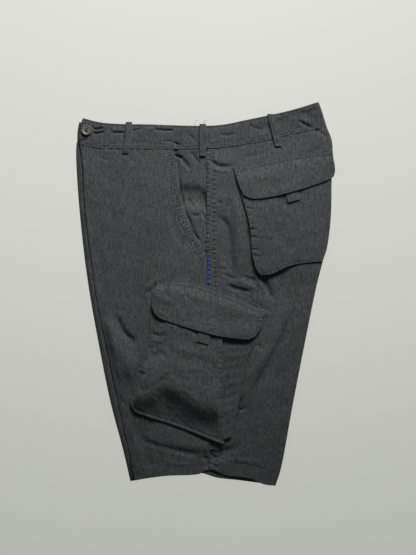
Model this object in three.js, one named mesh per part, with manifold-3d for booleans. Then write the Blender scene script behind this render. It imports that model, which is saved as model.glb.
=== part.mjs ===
// Cargo shorts in dark grey melange cloth, folded in half along centre front and centre back and laid flat.
// The wearer's left leg is on top and the right leg lies under it, its front fold showing along the front.
// Millimetres, +Z up. The front edge is on the -X side, the waistband on the +Y side, and the origin is on
// the resting surface under the middle of the outline.
import * as THREE from 'three';
import { mergeVertices } from 'three/addons/utils/BufferGeometryUtils.js';
import Module from 'manifold-3d';

const wasm = await Module();
wasm.setup();

// Thickness of each kind of piece
const CLOTH = 1.2;
const BAND = 2.5;
const STRAP = 1.5;
const FLAP = 1.8;
const SEAM = 0.3;

// A folded edge: the outer radius of the turn, and how far the cloth runs back under itself
const ROLL = 2.5;
const RETURN = 2;
const ROLL_STEPS = 5;

// Height of the stack: along its folded edges, its crown, and its falls to the waist and the hem
const EDGE_TOP = 10.3;
const CROWN = 2.2;
const WAIST_FALL = 2.6;
const WAIST_FADE = 60;
const HEM_FALL = 1.2;
const HEM_FADE = 45;
const BAND_HEIGHT = 41;
const BAND_PROUD = 0.8;

// A table has one row of numbers for each point or fold, named by its columns
const table = (columns, ...rows) =>
  rows.map((row) => Object.fromEntries(columns.map((name, i) => [name, row[i]])));

// Outlines of the top leg, from the waist down
const FRONT_EDGE = table(['x', 'y'],
  [-205.4, 246.6], [-203.4, 233], [-200, 207], [-197.7, 154], [-194, 113], [-185.6, 47],
  [-177.4, -11], [-159, -97], [-138, -200], [-123, -266], [-115.5, -304]);
const BACK_EDGE = table(['x', 'y'],
  [199, 273], [207, 251], [207.6, 220], [202.6, 121], [196.4, 75], [180.7, 9], [162.5, -80],
  [142.2, -184], [123.2, -286], [115, -312]);
const SIDE_SEAM = table(['x', 'y'],
  [2.5, 237], [2.5, 154], [2.5, 65], [5, 19], [9, -120], [9, -242], [5.8, -287]);
const OPENING = table(['x', 'y'],
  [-50.3, 237], [-47.9, 212], [-43.7, 171], [-35.5, 134.5], [-20.6, 101.5], [-5, 73.5], [2.5, 65]);

// Outlines from the front edge to the back edge
const WAIST_SEAM = table(['x', 'y'],
  [-205.6, 247], [-196, 242.4], [-179, 238.6], [-123, 237], [-11, 237], [32, 239.6], [93, 249],
  [139, 260], [199, 273]);
const WAIST_TOP = table(['x', 'y'],
  [-199.8, 288], [-174, 281.3], [-141, 278], [-92, 277], [-17, 274.7], [27, 276.4], [73, 285.5],
  [139, 299.5], [185, 313.5]);
const HEM = table(['x', 'y'],
  [-115.5, -304], [-91.6, -299.5], [-58.6, -295.5], [-25, -294.5], [-9, -292.5], [1, -287.6],
  [12.4, -286.6], [34, -295], [58.6, -297.8], [78.4, -302], [95, -309.5], [115, -312.5]);

// Outlines of the right leg that lies under, where they differ
const UNDER_FRONT = table(['x', 'y'],
  [-211, 250.5], [-212, 236], [-208.9, 171], [-199.7, 75], [-189, -2], [-174, -85], [-155.6, -176],
  [-134, -258], [-123, -307]);
const UNDER_WAIST = table(['x', 'y'],
  [-211, 250.5], [-196, 250], [-170, 243.5], [-140, 237.5], [-110, 236], [-11, 236], [32, 238.8],
  [93, 248], [139, 259], [197, 271]);
const UNDER_HEM = table(['x', 'y'],
  [-123, -307], [-91, -298], [-58, -293.8], [-25, -293], [-4, -293.7], [17, -300.3], [57, -305.3],
  [93, -310], [113, -312]);

// Ends of the waistbands, from the top edge down
const BAND_FRONT_END = table(['x', 'y'],
  [-199.8, 288], [-202.3, 281.3], [-203.4, 274], [-204.8, 265], [-206, 255], [-205.6, 247]);
const BAND_BACK_END = table(['x', 'y'], [185, 313.5], [189, 303], [195.5, 285], [199.3, 273.4]);
const UNDER_BAND_FRONT = table(['x', 'y'], [-207, 282.5], [-209.4, 271], [-210.1, 262], [-210, 251.2]);
const UNDER_BAND_BACK = table(['x', 'y'], [180, 309.5], [184, 299], [190, 283], [193.5, 271.6]);
const UNDER_BAND_TOP = table(['x', 'y'],
  [-207, 282.5], [-174, 279.5], [-141, 276.5], [-92, 275.5], [-17, 273], [27, 275], [73, 284],
  [139, 298], [180, 309.5]);

// Soft swells of the stack, where the hidden pockets of both legs lie: middle, reach and height
const SWELLS = table(['x', 'y', 'reachX', 'reachY', 'high'],
  [-25, -105, 135, 150, 5.2],
  [130, 120, 120, 120, 3.2]);

// Main folds of the panels: four points along the fold, its half width and its rise (a valley is negative)
const FOLD_COLUMNS = ['x0', 'y0', 'x1', 'y1', 'x2', 'y2', 'x3', 'y3', 'half', 'rise'];
const PANEL_FOLDS = table(FOLD_COLUMNS,
  [14, 126, 30, 117, 36, 92, 38, 30, 12, -3],
  [46, 168, 52, 125, 54, 80, 52, 32, 11, 2.4],
  [158, 20, 132, -55, 100, -125, 58, -188, 13, -3],
  [120, -20, 108, -70, 84, -118, 60, -150, 14, 1.8],
  [-147, -28, -139, -55, -122, -74, -104, -84, 10, -2],
  [-149, -77, -138, -110, -129, -140, -120, -174, 11, -2.2],
  [-88, -228, -40, -252, 20, -262, 62, -246, 13, -2.6],
  [2, 226, 16, 212, 30, 208, 46, 209, 7, -1.6],
  [-46, 172, -30, 171, -14, 169, -2, 164, 13, -1.6],
  [92, 38, 98, 18, 104, 2, 110, -14, 8, -1.8],
  [36, 22, 52, 17, 68, 13, 84, 8, 6, 1.1],
  [-170, 190, -168, 130, -160, 60, -152, 5, 16, 0.8],
  [-120, 215, -116, 150, -120, 90, -112, 40, 20, -0.7],
  [98, -70, 92, -125, 82, -190, 70, -240, 12, 1.4],
  [-118, -205, -104, -235, -96, -262, -92, -290, 12, -1.4]);
const CARGO_FOLDS = table(FOLD_COLUMNS,
  [-124, -172, -80, -155, -42, -167, 26, -194, 12, -2.2],
  [-118, -186, -78, -174, -34, -191, 22, -216, 10, 1.4],
  [-96, -84, -86, -100, -72, -96, -58, -104, 8, -1.4],
  [-60, -75, -30, -92, 0, -96, 24, -120, 12, 1.2]);

// Edge of the folded layers from the top down: how far in from each side's outline, and how high, where
// 2 is the top of the stack, 1 the height where the two legs meet, and 0 the resting surface
const LAYER_EDGE = table(
  ['frontIn', 'frontHigh', 'backIn', 'backHigh', 'hemIn', 'hemHigh', 'waistIn', 'waistHigh'],
  [26, 2, 9.5, 2, 4, 2, 12.5, 2],
  [24.6, 1.5, 8.8, 1.5, 2.2, 1.86, 11.5, 1.5],
  [24, 1.04, 8.2, 1.04, 1.6, 1.5, 11, 1.04],
  [8, 1, 6, 1, 3.2, 1.1, 1, 1],
  [3, 0.97, 4.6, 0.97, 0.4, 0.94, 0.4, 0.94],
  [1, 0.84, 3, 0.84, 0.2, 0.64, 0.3, 0.64],
  [0, 0.5, 2, 0.5, 2, 0.5, 0.3, 0.5],
  [0.3, 0.28, 2.3, 0.28, 0.3, 0.36, 0.3, 0.36],
  [1, 0.1, 3, 0.1, 0, 0.1, 0.3, 0.1],
  [2.6, 0, 4.6, 0, 0.8, 0, 0.4, 0]);

// Back pocket and its flap
const BACK_POCKET = {
  left: table(['x', 'y'], [53.6, 182], [60, 157], [66.8, 134.5], [73.4, 101.5], [76.7, 63.5], [82, 42]),
  bottom: table(['x', 'y'], [82, 42], [90, 32], [106.4, 33], [139.4, 47], [172.4, 52], [191, 53.4]),
  right: table(['x', 'y'], [205.4, 205], [205.4, 154.3], [204, 121.3], [198, 75], [191, 53.4]),
  top: table(['x', 'y'], [53.6, 182], [100, 189], [150, 196], [205.4, 205]),
};
const BACK_FLAP = {
  left: table(['x', 'y'], [45.4, 206.3], [50.3, 190.6], [55.3, 175.7], [62, 161]),
  bottom: table(['x', 'y'],
    [62, 161], [72, 156], [86.6, 155], [127.9, 162.5], [172.4, 175.7], [203.8, 188], [209.5, 192.5]),
  right: table(['x', 'y'], [207.5, 236], [208.5, 222], [211.2, 203], [209.5, 192.5]),
  top: table(['x', 'y'], [45.4, 206.3], [73.4, 212.9], [139.4, 226.9], [172.4, 231.8], [207.5, 236]),
};
const BACK_TAB = {
  left: table(['x', 'y'], [129, 171], [130.8, 163], [133.7, 148.5]),
  right: table(['x', 'y'], [149.5, 175], [151, 167.5], [153.5, 153.5]),
};

// Cargo pocket, its gusset and its flap
const CARGO_POCKET = {
  left: table(['x', 'y'], [-83, -5], [-88.3, -30.5], [-93.2, -76.7], [-108, -126.2], [-122.9, -176]),
  bottom: table(['x', 'y'],
    [-122.9, -176], [-116, -190], [-104.8, -195.5], [-42, -216], [10.7, -236.8], [31, -244]),
  right: table(['x', 'y'], [29, -20], [27.2, -126], [28.9, -192], [31, -244]),
  top: table(['x', 'y'], [-83, -5], [-30, -10], [29, -20]),
};
const CARGO_GUSSET = {
  left: table(['x', 'y'], [24, -40], [23.4, -126], [25, -192], [27.5, -240]),
  right: table(['x', 'y'],
    [88, -46], [81.7, -76.7], [66.8, -109.7], [58.6, -159.2], [50.3, -195.5], [42, -235]),
};
const CARGO_FLAP = {
  left: table(['x', 'y'], [-78.4, 19], [-83.3, -2.5], [-86.6, -19], [-82, -31]),
  bottom: table(['x', 'y'],
    [-82, -31], [-73.4, -38], [-42, -49.5], [20.6, -66.8], [53.6, -71.8], [70, -72.5], [82, -67]),
  right: table(['x', 'y'], [99.8, -22.3], [94, -38], [91, -52], [82, -67]),
  top: table(['x', 'y'], [-78.4, 19], [-55.3, 23.9], [-17.3, 19], [24, 5.8], [65, -9], [99.8, -22.3]),
};
const CARGO_TAB = {
  left: table(['x', 'y'], [-8, -50], [-10.5, -60], [-14.9, -76]),
  right: table(['x', 'y'], [10.5, -55], [8.5, -64], [5, -81]),
};

// Belt loops: the middle of each, from above the waistband's top edge to below its seam
const LOOP = { width: 10.5, arch: 0.9, rest: 0.15, past: 9 };
const LOOPS = {
  belt_loop_front: table(['x', 'y'], [-124, 280.5], [-125, 256], [-130, 229.5]),
  belt_loop_side: table(['x', 'y'], [-4, 277.3], [-4, 250], [-4, 225]),
  belt_loop_back: table(['x', 'y'], [105.6, 293.3], [111, 273], [118.8, 241]),
};

const BUTTON = { x: -193.1, y: 267.6, radius: 8.4, thick: 3, rim: 1.6, dish: 0.9, hole: 1.1, holeOut: 1.8 };

// How far each pocket stands off the panel beyond its seams: the back pocket along its left side (less at
// its top) and its bottom, the cargo pocket in its belly, beside its bellows and along its bottom
const BACK_STAND = { side: 3.4, topShare: 0.45, low: 1.6 };
const CARGO_STAND = { belly: 4.2, gusset: 1.2, low: 1.6, most: 5.2 };

// Bellows of the cargo pocket: its puckers, how far it lies off the panel and its rise to the pocket
const BELLOWS = { puckers: 4.5, deep: 0.35, loose: 0.5, rise: 0.6 };

// Room under a flap for the pull tab that hangs from it: the tab's middle, and the flap's extra rise
const TAB_ROOM = { backX: 139, cargoX: 0, rise: 1.7, half: 12, fade: 24 };

// Colours as seen: melange grey cloth, and the horn button
const GREY = 0x46494a;
const GREY_DARK = 0x3b3e3f;
const HORN = 0x77756c;

const clamp = (value, low = 0, high = 1) => Math.min(high, Math.max(low, value));
const mix = (a, b, t) => a + (b - a) * t;
const smooth = (low, high, value) => {
  const t = clamp((value - low) / (high - low));
  return t * t * (3 - 2 * t);
};

// Smooth curve through a table's points, read by the share of its length
function through(rows) {
  const points = rows.map((row) => new THREE.Vector3(row.x, row.y, 0));
  const curve = new THREE.CatmullRomCurve3(points, false, 'centripetal');
  return (t) => curve.getPointAt(clamp(t));
}

// The same curve read by height along it (x at a given y), or by width (y at a given x)
function readBy(rows, from, to) {
  const line = through(rows);
  const steps = 160;
  const points = Array.from({ length: steps + 1 }, (_, i) => line(i / steps));
  points.sort((a, b) => a[from] - b[from]);
  return (value) => {
    if (value <= points[0][from]) return points[0][to];
    const next = points.findIndex((point) => point[from] >= value);
    if (next < 0) return points[steps][to];
    const [a, b] = [points[next - 1], points[next]];
    return mix(a[to], b[to], (value - a[from]) / (b[from] - a[from] || 1));
  };
}
const frontX = readBy(FRONT_EDGE, 'y', 'x');
const backX = readBy(BACK_EDGE, 'y', 'x');
const waistY = readBy(WAIST_SEAM, 'x', 'y');
const hemY = readBy(HEM, 'x', 'y');

// A stretch of a seam line between two widths, moved by a small shift along Y
const stretch = (yAt, x0, x1, shift) => (t) => {
  const x = mix(x0, x1, t);
  return new THREE.Vector3(x, yAt(x) + shift, 0);
};

// Two lines end to end, joined at the given share
const joined = (first, second, share) => (t) =>
  (t < share ? first(t / share) : second((t - share) / (1 - share)));

// A line moved sideways
const moved = (line, dx, dy = 0) => (t) => line(t).add(new THREE.Vector3(dx, dy, 0));

// Patch inside four lines: left and right run down, top and bottom run from left to right
function patch(left, right, top, bottom) {
  const [a, b, c, d] = [left(0), right(0), left(1), right(1)];
  return (u, v) => {
    const point = new THREE.Vector3();
    point.addScaledVector(top(u), 1 - v).addScaledVector(bottom(u), v);
    point.addScaledVector(left(v), 1 - u).addScaledVector(right(v), u);
    point.addScaledVector(a, -(1 - u) * (1 - v)).addScaledVector(b, -u * (1 - v));
    point.addScaledVector(c, -(1 - u) * v).addScaledVector(d, -u * v);
    return point;
  };
}

// Rise of a table of folds at a point: each fold is a soft ridge or valley that fades at its ends
function foldsOf(rows) {
  const steps = 24;
  const lines = rows.map((row) => {
    const line = through([0, 1, 2, 3].map((i) => ({ x: row[`x${i}`], y: row[`y${i}`] })));
    return { ...row, points: Array.from({ length: steps + 1 }, (_, i) => line(i / steps)) };
  });
  return (x, y) => lines.reduce((sum, fold) => {
    let nearest = Infinity;
    let place = 0;
    fold.points.forEach((point, i) => {
      const distance = Math.hypot(point.x - x, point.y - y);
      if (distance < nearest) [nearest, place] = [distance, i / steps];
    });
    const across = clamp(1 - (nearest / fold.half) ** 2) ** 2;
    const along = smooth(0, 0.25, place) * smooth(1, 0.75, place);
    return sum + fold.rise * across * along;
  }, 0);
}
const panelFolds = foldsOf(PANEL_FOLDS);
const cargoFolds = foldsOf(CARGO_FOLDS);

// Height of the top leg's outer face without its folds
function bed(x, y) {
  const [front, back] = [frontX(y), backX(y)];
  const across = clamp((x - front) / (back - front));
  const seam = waistY(x);
  const waist = WAIST_FALL * smooth(seam - WAIST_FADE, seam + BAND_HEIGHT, y);
  const hem = HEM_FALL * smooth(hemY(x) + HEM_FADE, hemY(x), y);
  const swell = SWELLS.reduce((sum, s) => {
    const q = ((x - s.x) / s.reachX) ** 2 + ((y - s.y) / s.reachY) ** 2;
    return sum + s.high * clamp(1 - q) ** 2;
  }, 0);
  return EDGE_TOP + CROWN * (1 - (2 * across - 1) ** 4) - waist - hem + swell;
}
const top = (x, y) => bed(x, y) + panelFolds(x, y);

// Lowest height of the face around a point, which the layers under it keep below
function lowest(x, y) {
  const reach = [-16, -12, -8, -4, 0, 4, 8, 12, 16];
  return Math.min(...reach.flatMap((dx) => reach.map((dy) => top(x + dx, y + dy))));
}

// Collects faces, and closes them into one body
class Skin {
  constructor() {
    this.points = [];
  }

  triangle(a, b, c) {
    if (a.distanceTo(b) < 1e-4 || b.distanceTo(c) < 1e-4 || c.distanceTo(a) < 1e-4) return;
    this.points.push(a, b, c);
  }

  quad(a, b, c, d) {
    this.triangle(a, b, c);
    this.triangle(a, c, d);
  }

  geometry() {
    const bare = new THREE.BufferGeometry().setFromPoints(this.points);
    const merged = mergeVertices(bare, 1e-4);
    merged.computeVertexNormals();
    return merged;
  }
}

// Closed wall between an outer and an inner grid of points, whose rows run down and columns to the right
function wall(outer, inner) {
  const skin = new Skin();
  const lastRow = outer.length - 1;
  const lastColumn = outer[0].length - 1;
  for (let r = 0; r < lastRow; r += 1) {
    for (let c = 0; c < lastColumn; c += 1) {
      skin.quad(outer[r][c], outer[r + 1][c], outer[r + 1][c + 1], outer[r][c + 1]);
      skin.quad(inner[r][c], inner[r][c + 1], inner[r + 1][c + 1], inner[r + 1][c]);
    }
    skin.quad(outer[r][0], inner[r][0], inner[r + 1][0], outer[r + 1][0]);
    skin.quad(outer[r][lastColumn], outer[r + 1][lastColumn], inner[r + 1][lastColumn], inner[r][lastColumn]);
  }
  for (let c = 0; c < lastColumn; c += 1) {
    skin.quad(outer[0][c], outer[0][c + 1], inner[0][c + 1], inner[0][c]);
    skin.quad(outer[lastRow][c], inner[lastRow][c], inner[lastRow][c + 1], outer[lastRow][c + 1]);
  }
  return skin.geometry();
}

const evenly = (steps) => Array.from({ length: steps + 1 }, (_, i) => i / steps);

// Flat-lying piece: the patch's points at the height of its outer face, and one thickness below
function sheet(area, heightAt, thick, columns, rows) {
  const grid = (down) => evenly(rows).map((v) => evenly(columns).map((u) => {
    const { x, y } = area(u, v);
    return new THREE.Vector3(x, y, heightAt(x, y, u, v) - down);
  }));
  return wall(grid(0), grid(thick));
}

// Stations across a turned edge, from the end of the return round to the upper side: how far in from the
// edge and how far down from the face, for a turn of the given outer radius read at another radius
function turn(radius, readAt) {
  const round = evenly(ROLL_STEPS).map((t) => Math.PI * (1 - t));
  const stations = round.map((angle) => ({
    inside: radius - readAt * Math.sin(angle),
    down: radius - readAt * Math.cos(angle),
  }));
  return [{ inside: radius + RETURN, down: radius + readAt }, ...stations];
}

// Leg panel: flat over the stack, and turned round the folded edge on one side
function turnedPanel(area, foldedAtLeft, columns, rows) {
  const grid = (thin) => evenly(rows).map((v) => {
    const width = area(0, v).distanceTo(area(1, v));
    const share = (inside) => (foldedAtLeft ? inside / width : 1 - inside / width);
    const { x: x0, y: y0 } = area(share(ROLL), v);
    const edge = turn(ROLL, ROLL - thin).map(({ inside, down }) => {
      const { x, y } = area(share(inside), v);
      return new THREE.Vector3(x, y, top(x0, y0) - down);
    });
    const flat = evenly(columns).slice(1).map((t) => {
      const { x, y } = area(mix(share(ROLL), foldedAtLeft ? 1 : 0, t), v);
      return new THREE.Vector3(x, y, top(x, y) - thin);
    });
    return foldedAtLeft ? [...edge, ...flat] : [...edge, ...flat].reverse();
  });
  return wall(grid(0), grid(CLOTH));
}

// Front panel: from the front fold to the pocket opening and the side seam
function frontPanel() {
  const lowerSeam = SIDE_SEAM.filter((row) => row.y <= OPENING.at(-1).y);
  const openingShare = 0.35;
  const cutEdge = moved(joined(through(OPENING), through(lowerSeam), openingShare), -SEAM);
  const waist = stretch(waistY, FRONT_EDGE[0].x, OPENING[0].x - SEAM, -SEAM);
  const hem = stretch(hemY, HEM[0].x, SIDE_SEAM.at(-1).x - SEAM, 0);
  return turnedPanel(patch(through(FRONT_EDGE), cutEdge, waist, hem), true, 12, 30);
}

// Back panel: from the side seam to the fold at centre back and down the inner leg
function backPanel() {
  const seam = moved(through(SIDE_SEAM), SEAM / 2);
  const waist = stretch(waistY, SIDE_SEAM[0].x + SEAM / 2, BACK_EDGE[0].x, -SEAM);
  const hem = stretch(hemY, SIDE_SEAM.at(-1).x + SEAM / 2, BACK_EDGE.at(-1).x, 0);
  return turnedPanel(patch(seam, through(BACK_EDGE), waist, hem), false, 16, 30);
}

// Facing seen inside the slash pocket: it runs under the front panel's cut edge and under the back panel
const FACING = { under: 6, tuck: 3, below: 0.8, sink: CLOTH + SEAM, well: 1.7 };
function pocketFacing() {
  const left = moved(through(OPENING), -FACING.under, -FACING.below);
  const right = (t) => new THREE.Vector3(SIDE_SEAM[0].x + FACING.tuck, left(t).y, 0);
  const line = (from, to) => (t) => from.clone().lerp(to, t);
  const area = patch(left, right, line(left(0), right(0)), line(left(1), right(1)));
  return sheet(area, (x, y) => top(x, y) - FACING.sink, CLOTH, 6, 13);
}

// How far the stack is lowered under the facing, which it reaches past by a soft slope on each side
function facingWell(x, y) {
  const slope = 16;
  const left = OPENING[0].x - 2 * FACING.under;
  const right = SIDE_SEAM[0].x + 2 * FACING.tuck;
  const low = OPENING.at(-1).y - FACING.under;
  const across = smooth(left - slope, left, x) * smooth(right + slope, right, x);
  return FACING.well * across * smooth(low - slope, low, y);
}

// Height where the top leg's folded edges meet the leg under them
function meeting(x, y) {
  const [front, back] = [frontX(y), backX(y)];
  const across = clamp((x - front) / (back - front));
  return mix(top(front, y), top(back, y), across) - 2 * ROLL - SEAM;
}

// Hidden layers: one rounded solid with a flat underside, its sides shaped as the layers' edges
function foldedLayers() {
  const area = patch(through(UNDER_FRONT), through(BACK_EDGE), through(UNDER_WAIST), through(UNDER_HEM));
  const length = through(UNDER_FRONT)(0).distanceTo(through(UNDER_FRONT)(1));
  const columns = 14;
  const rows = 24;
  const place = (row, s, t) => {
    const width = area(0, t).distanceTo(area(1, t));
    const u = mix(row.frontIn / width, 1 - row.backIn / width, s);
    const v = mix(row.waistIn / length, 1 - row.hemIn / length, t);
    return area(u, v);
  };
  const upperAt = (x, y) => lowest(x, y) - CLOTH - SEAM - facingWell(x, y);
  const edgeHeight = (row, s, t, x, y) => {
    const near = 0.05;
    const shares = [s, 1 - s, t, 1 - t].map((distance) => clamp(1 - distance / near));
    const highs = [row.frontHigh, row.backHigh, row.waistHigh, row.hemHigh];
    const total = shares.reduce((sum, share) => sum + share, 0);
    const high = highs.reduce((sum, value, i) => sum + value * shares[i], 0) / total;
    const upper = upperAt(x, y);
    const middle = Math.min(meeting(x, y), upper - SEAM);
    return high <= 1 ? high * middle : mix(middle, upper, high - 1);
  };
  const last = LAYER_EDGE.length - 1;
  const pointAt = (level, s, t) => {
    const { x, y } = place(LAYER_EDGE[level], s, t);
    if (level === last) return new THREE.Vector3(x, y, 0);
    const inside = s > 0 && s < 1 && t > 0 && t < 1;
    return new THREE.Vector3(x, y, inside ? upperAt(x, y) : edgeHeight(LAYER_EDGE[level], s, t, x, y));
  };
  const skin = new Skin();
  for (let r = 0; r < rows; r += 1) {
    for (let c = 0; c < columns; c += 1) {
      const corner = (level, dc, dr) => pointAt(level, (c + dc) / columns, (r + dr) / rows);
      skin.quad(corner(0, 0, 0), corner(0, 0, 1), corner(0, 1, 1), corner(0, 1, 0));
      skin.quad(corner(last, 0, 0), corner(last, 1, 0), corner(last, 1, 1), corner(last, 0, 1));
    }
  }
  const ring = [
    ...evenly(rows).slice(0, -1).map((t) => [0, t]),
    ...evenly(columns).slice(0, -1).map((s) => [s, 1]),
    ...evenly(rows).slice(0, -1).map((t) => [1, 1 - t]),
    ...evenly(columns).slice(0, -1).map((s) => [1 - s, 0]),
  ];
  for (let level = 0; level < last; level += 1) {
    ring.forEach(([s, t], i) => {
      const [s1, t1] = ring[(i + 1) % ring.length];
      const [below, belowNext] = [pointAt(level + 1, s, t), pointAt(level + 1, s1, t1)];
      skin.quad(pointAt(level, s, t), below, belowNext, pointAt(level, s1, t1));
    });
  }
  return skin.geometry();
}

// Left half of the waistband: a little proud of the panels, and folded round at centre back
function waistbandLeft() {
  const rows = 4;
  const columns = 24;
  const area = patch(through(BAND_FRONT_END), through(BAND_BACK_END), through(WAIST_TOP),
    stretch(waistY, BAND_FRONT_END.at(-1).x, BAND_BACK_END.at(-1).x, 0));
  const grid = (thin) => evenly(rows).map((v) => {
    const width = area(0, v).distanceTo(area(1, v));
    const { x: endX, y: endY } = area(1, v);
    const face = top(endX, endY) + BAND_PROUD;
    const radius = (face - SEAM) / 2;
    const flatEnd = 1 - radius / width;
    const flat = evenly(columns).map((t) => {
      const { x, y } = area(t * flatEnd, v);
      return new THREE.Vector3(x, y, top(x, y) + BAND_PROUD - thin);
    });
    const round = evenly(ROLL_STEPS).slice(1).map((t) => {
      const angle = Math.PI * t;
      const { x, y } = area(1 - (radius - (radius - thin) * Math.sin(angle)) / width, v);
      const start = area(flatEnd, v);
      const drop = radius - (radius - thin) * Math.cos(angle);
      return new THREE.Vector3(x, y, top(start.x, start.y) + BAND_PROUD - drop);
    });
    return [...flat, ...round];
  });
  return wall(grid(0), grid(BAND));
}

// Right half of the waistband, flat on the resting surface
function waistbandRight() {
  const [front, back] = [UNDER_BAND_FRONT.at(-1).x, UNDER_BAND_BACK.at(-1).x];
  const bottom = stretch(readBy(UNDER_WAIST, 'x', 'y'), front, back, 2 * SEAM);
  const area = patch(through(UNDER_BAND_FRONT), through(UNDER_BAND_BACK), through(UNDER_BAND_TOP), bottom);
  return sheet(area, () => BAND, BAND, 24, 2);
}

// Place of a point in a pocket: how far across from its left edge, and how far down from its top
function placeIn(pocket) {
  const leftX = readBy(pocket.left, 'y', 'x');
  const rightX = readBy(pocket.right, 'y', 'x');
  const topY = readBy(pocket.top, 'x', 'y');
  const bottomY = readBy(pocket.bottom, 'x', 'y');
  return (x, y) => ({
    across: clamp((x - leftX(y)) / (rightX(y) - leftX(y))),
    down: clamp((topY(x) - y) / (topY(x) - bottomY(x))),
  });
}
const inBackPocket = placeIn(BACK_POCKET);
const inCargoPocket = placeIn(CARGO_POCKET);

// How far each pocket's outer face stands off the panel
const SEWN = CLOTH + SEAM;
function backPocketLift(x, y) {
  const { across, down } = inBackPocket(x, y);
  const left = BACK_STAND.side * smooth(0.85, 0, across) * mix(BACK_STAND.topShare, 1, smooth(0, 0.6, down));
  const low = BACK_STAND.low * smooth(0.55, 1, down) * smooth(1, 0.3, across);
  return SEWN + left + low;
}
function cargoPocketLift(x, y) {
  const { across, down } = inCargoPocket(x, y);
  const belly = CARGO_STAND.belly * smooth(0, 0.3, across) * smooth(0, 0.25, down) * smooth(0.97, 0.7, down);
  const gusset = CARGO_STAND.gusset * smooth(0.55, 1, across);
  const low = CARGO_STAND.low * smooth(0.75, 1, down);
  return SEWN + Math.max(0, Math.min(CARGO_STAND.most, belly + gusset + low) + cargoFolds(x, y));
}

// Patch inside a piece's four outlines, or between its two sides with straight ends
const outlined = (piece) =>
  patch(through(piece.left), through(piece.right), through(piece.top), through(piece.bottom));
const straight = (from, to) => (t) => new THREE.Vector3(mix(from.x, to.x, t), mix(from.y, to.y, t), 0);
const between = (piece) => patch(through(piece.left), through(piece.right),
  straight(piece.left[0], piece.right[0]), straight(piece.left.at(-1), piece.right.at(-1)));

// Height of the panel that carries the back pocket, kept level past the turn of its fold
const carried = (x, y) => top(Math.min(x, backX(y) - ROLL), y);

function backPocket() {
  return sheet(outlined(BACK_POCKET), (x, y) => carried(x, y) + backPocketLift(x, y), CLOTH, 12, 12);
}

// Folded strip that closes the back pocket along its left side and its bottom, from panel to face
function backGusset() {
  const inset = 3;
  const side = moved(through(BACK_POCKET.left), inset);
  const base = moved(through(BACK_POCKET.bottom), 0, inset);
  const path = joined((t) => side(mix(0.05, 0.93, t)), (t) => base(mix(0.12, 0.62, t)), 0.6);
  const steps = 24;
  const rows = 3;
  const grid = (inward) => evenly(rows).map((v) => evenly(steps).map((t) => {
    const here = path(t);
    const ahead = path(clamp(t + 0.01)).sub(path(clamp(t - 0.01))).normalize();
    const inside = new THREE.Vector3(-ahead.y, ahead.x, 0);
    const { x, y } = here.clone().addScaledVector(inside, inward - 1.1 * Math.sin(Math.PI * v));
    const low = top(x, y) + 2 * SEAM;
    const high = top(x, y) + backPocketLift(x, y) - CLOTH - 2 * SEAM;
    return new THREE.Vector3(x, y, mix(Math.max(high, low + 0.4), low, v));
  }));
  return wall(grid(0), grid(CLOTH));
}

// Extra rise of a flap over its tab, towards the flap's free edge
const overTab = (x, middle, down) =>
  TAB_ROOM.rise * smooth(TAB_ROOM.fade, TAB_ROOM.half, Math.abs(x - middle)) * smooth(0.6, 0.9, down);

function backFlap() {
  const height = (x, y, u, v) => {
    const rise = smooth(0.08, 0.5, v) * (backPocketLift(x, y) + SEAM);
    return carried(x, y) + FLAP + SEAM + rise + overTab(x, TAB_ROOM.backX, v);
  };
  return sheet(outlined(BACK_FLAP), height, FLAP, 14, 6);
}

function backTab() {
  const height = (x, y) => top(x, y) + backPocketLift(x, y) + SEAM + STRAP;
  return sheet(between(BACK_TAB), height, STRAP, 3, 6);
}

function cargoPocket() {
  return sheet(outlined(CARGO_POCKET), (x, y) => top(x, y) + cargoPocketLift(x, y), CLOTH, 15, 18);
}

// Bellows beside the cargo pocket, from the panel up to the pocket's free edge, with soft puckers
function cargoGusset() {
  const { puckers, deep, loose, rise } = BELLOWS;
  const height = (x, y, u, v) => {
    const pucker = deep * Math.sin(Math.PI * 2 * puckers * v) * Math.sin(Math.PI * u) ** 2;
    return top(x, y) + SEWN + loose + rise * (1 - u) * smooth(0, 0.3, v) + pucker;
  };
  return sheet(between(CARGO_GUSSET), height, CLOTH, 4, 26);
}

function cargoFlap() {
  const height = (x, y, u, v) => {
    const rise = smooth(0.04, 0.36, v) * (cargoPocketLift(x, y) + SEAM);
    const side = mix(1, 0.75, smooth(0.72, 1, u));
    return top(x, y) + FLAP + SEAM + rise * side + overTab(x, TAB_ROOM.cargoX, v);
  };
  return sheet(outlined(CARGO_FLAP), height, FLAP, 18, 7);
}

function cargoTab() {
  const height = (x, y) => top(x, y) + cargoPocketLift(x, y) + SEAM + STRAP;
  return sheet(between(CARGO_TAB), height, STRAP, 3, 6);
}

// Belt loop: a strap over the waistband, arched a little so that a belt can pass
function beltLoop(rows) {
  const middle = through(rows);
  const [left, right] = [moved(middle, -LOOP.width / 2), moved(middle, LOOP.width / 2)];
  const area = patch(left, right, straight(left(0), right(0)), straight(left(1), right(1)));
  const height = (x, y, u, v) => {
    const proud = BAND_PROUD * smooth(waistY(x) - LOOP.past, waistY(x) - 1, y);
    const arch = LOOP.arch * smooth(0.05, 0.3, v) * smooth(0.95, 0.7, v);
    return top(x, y) + proud + SEAM + STRAP + LOOP.rest + arch;
  };
  return sheet(area, height, STRAP, 3, 14);
}

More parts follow.
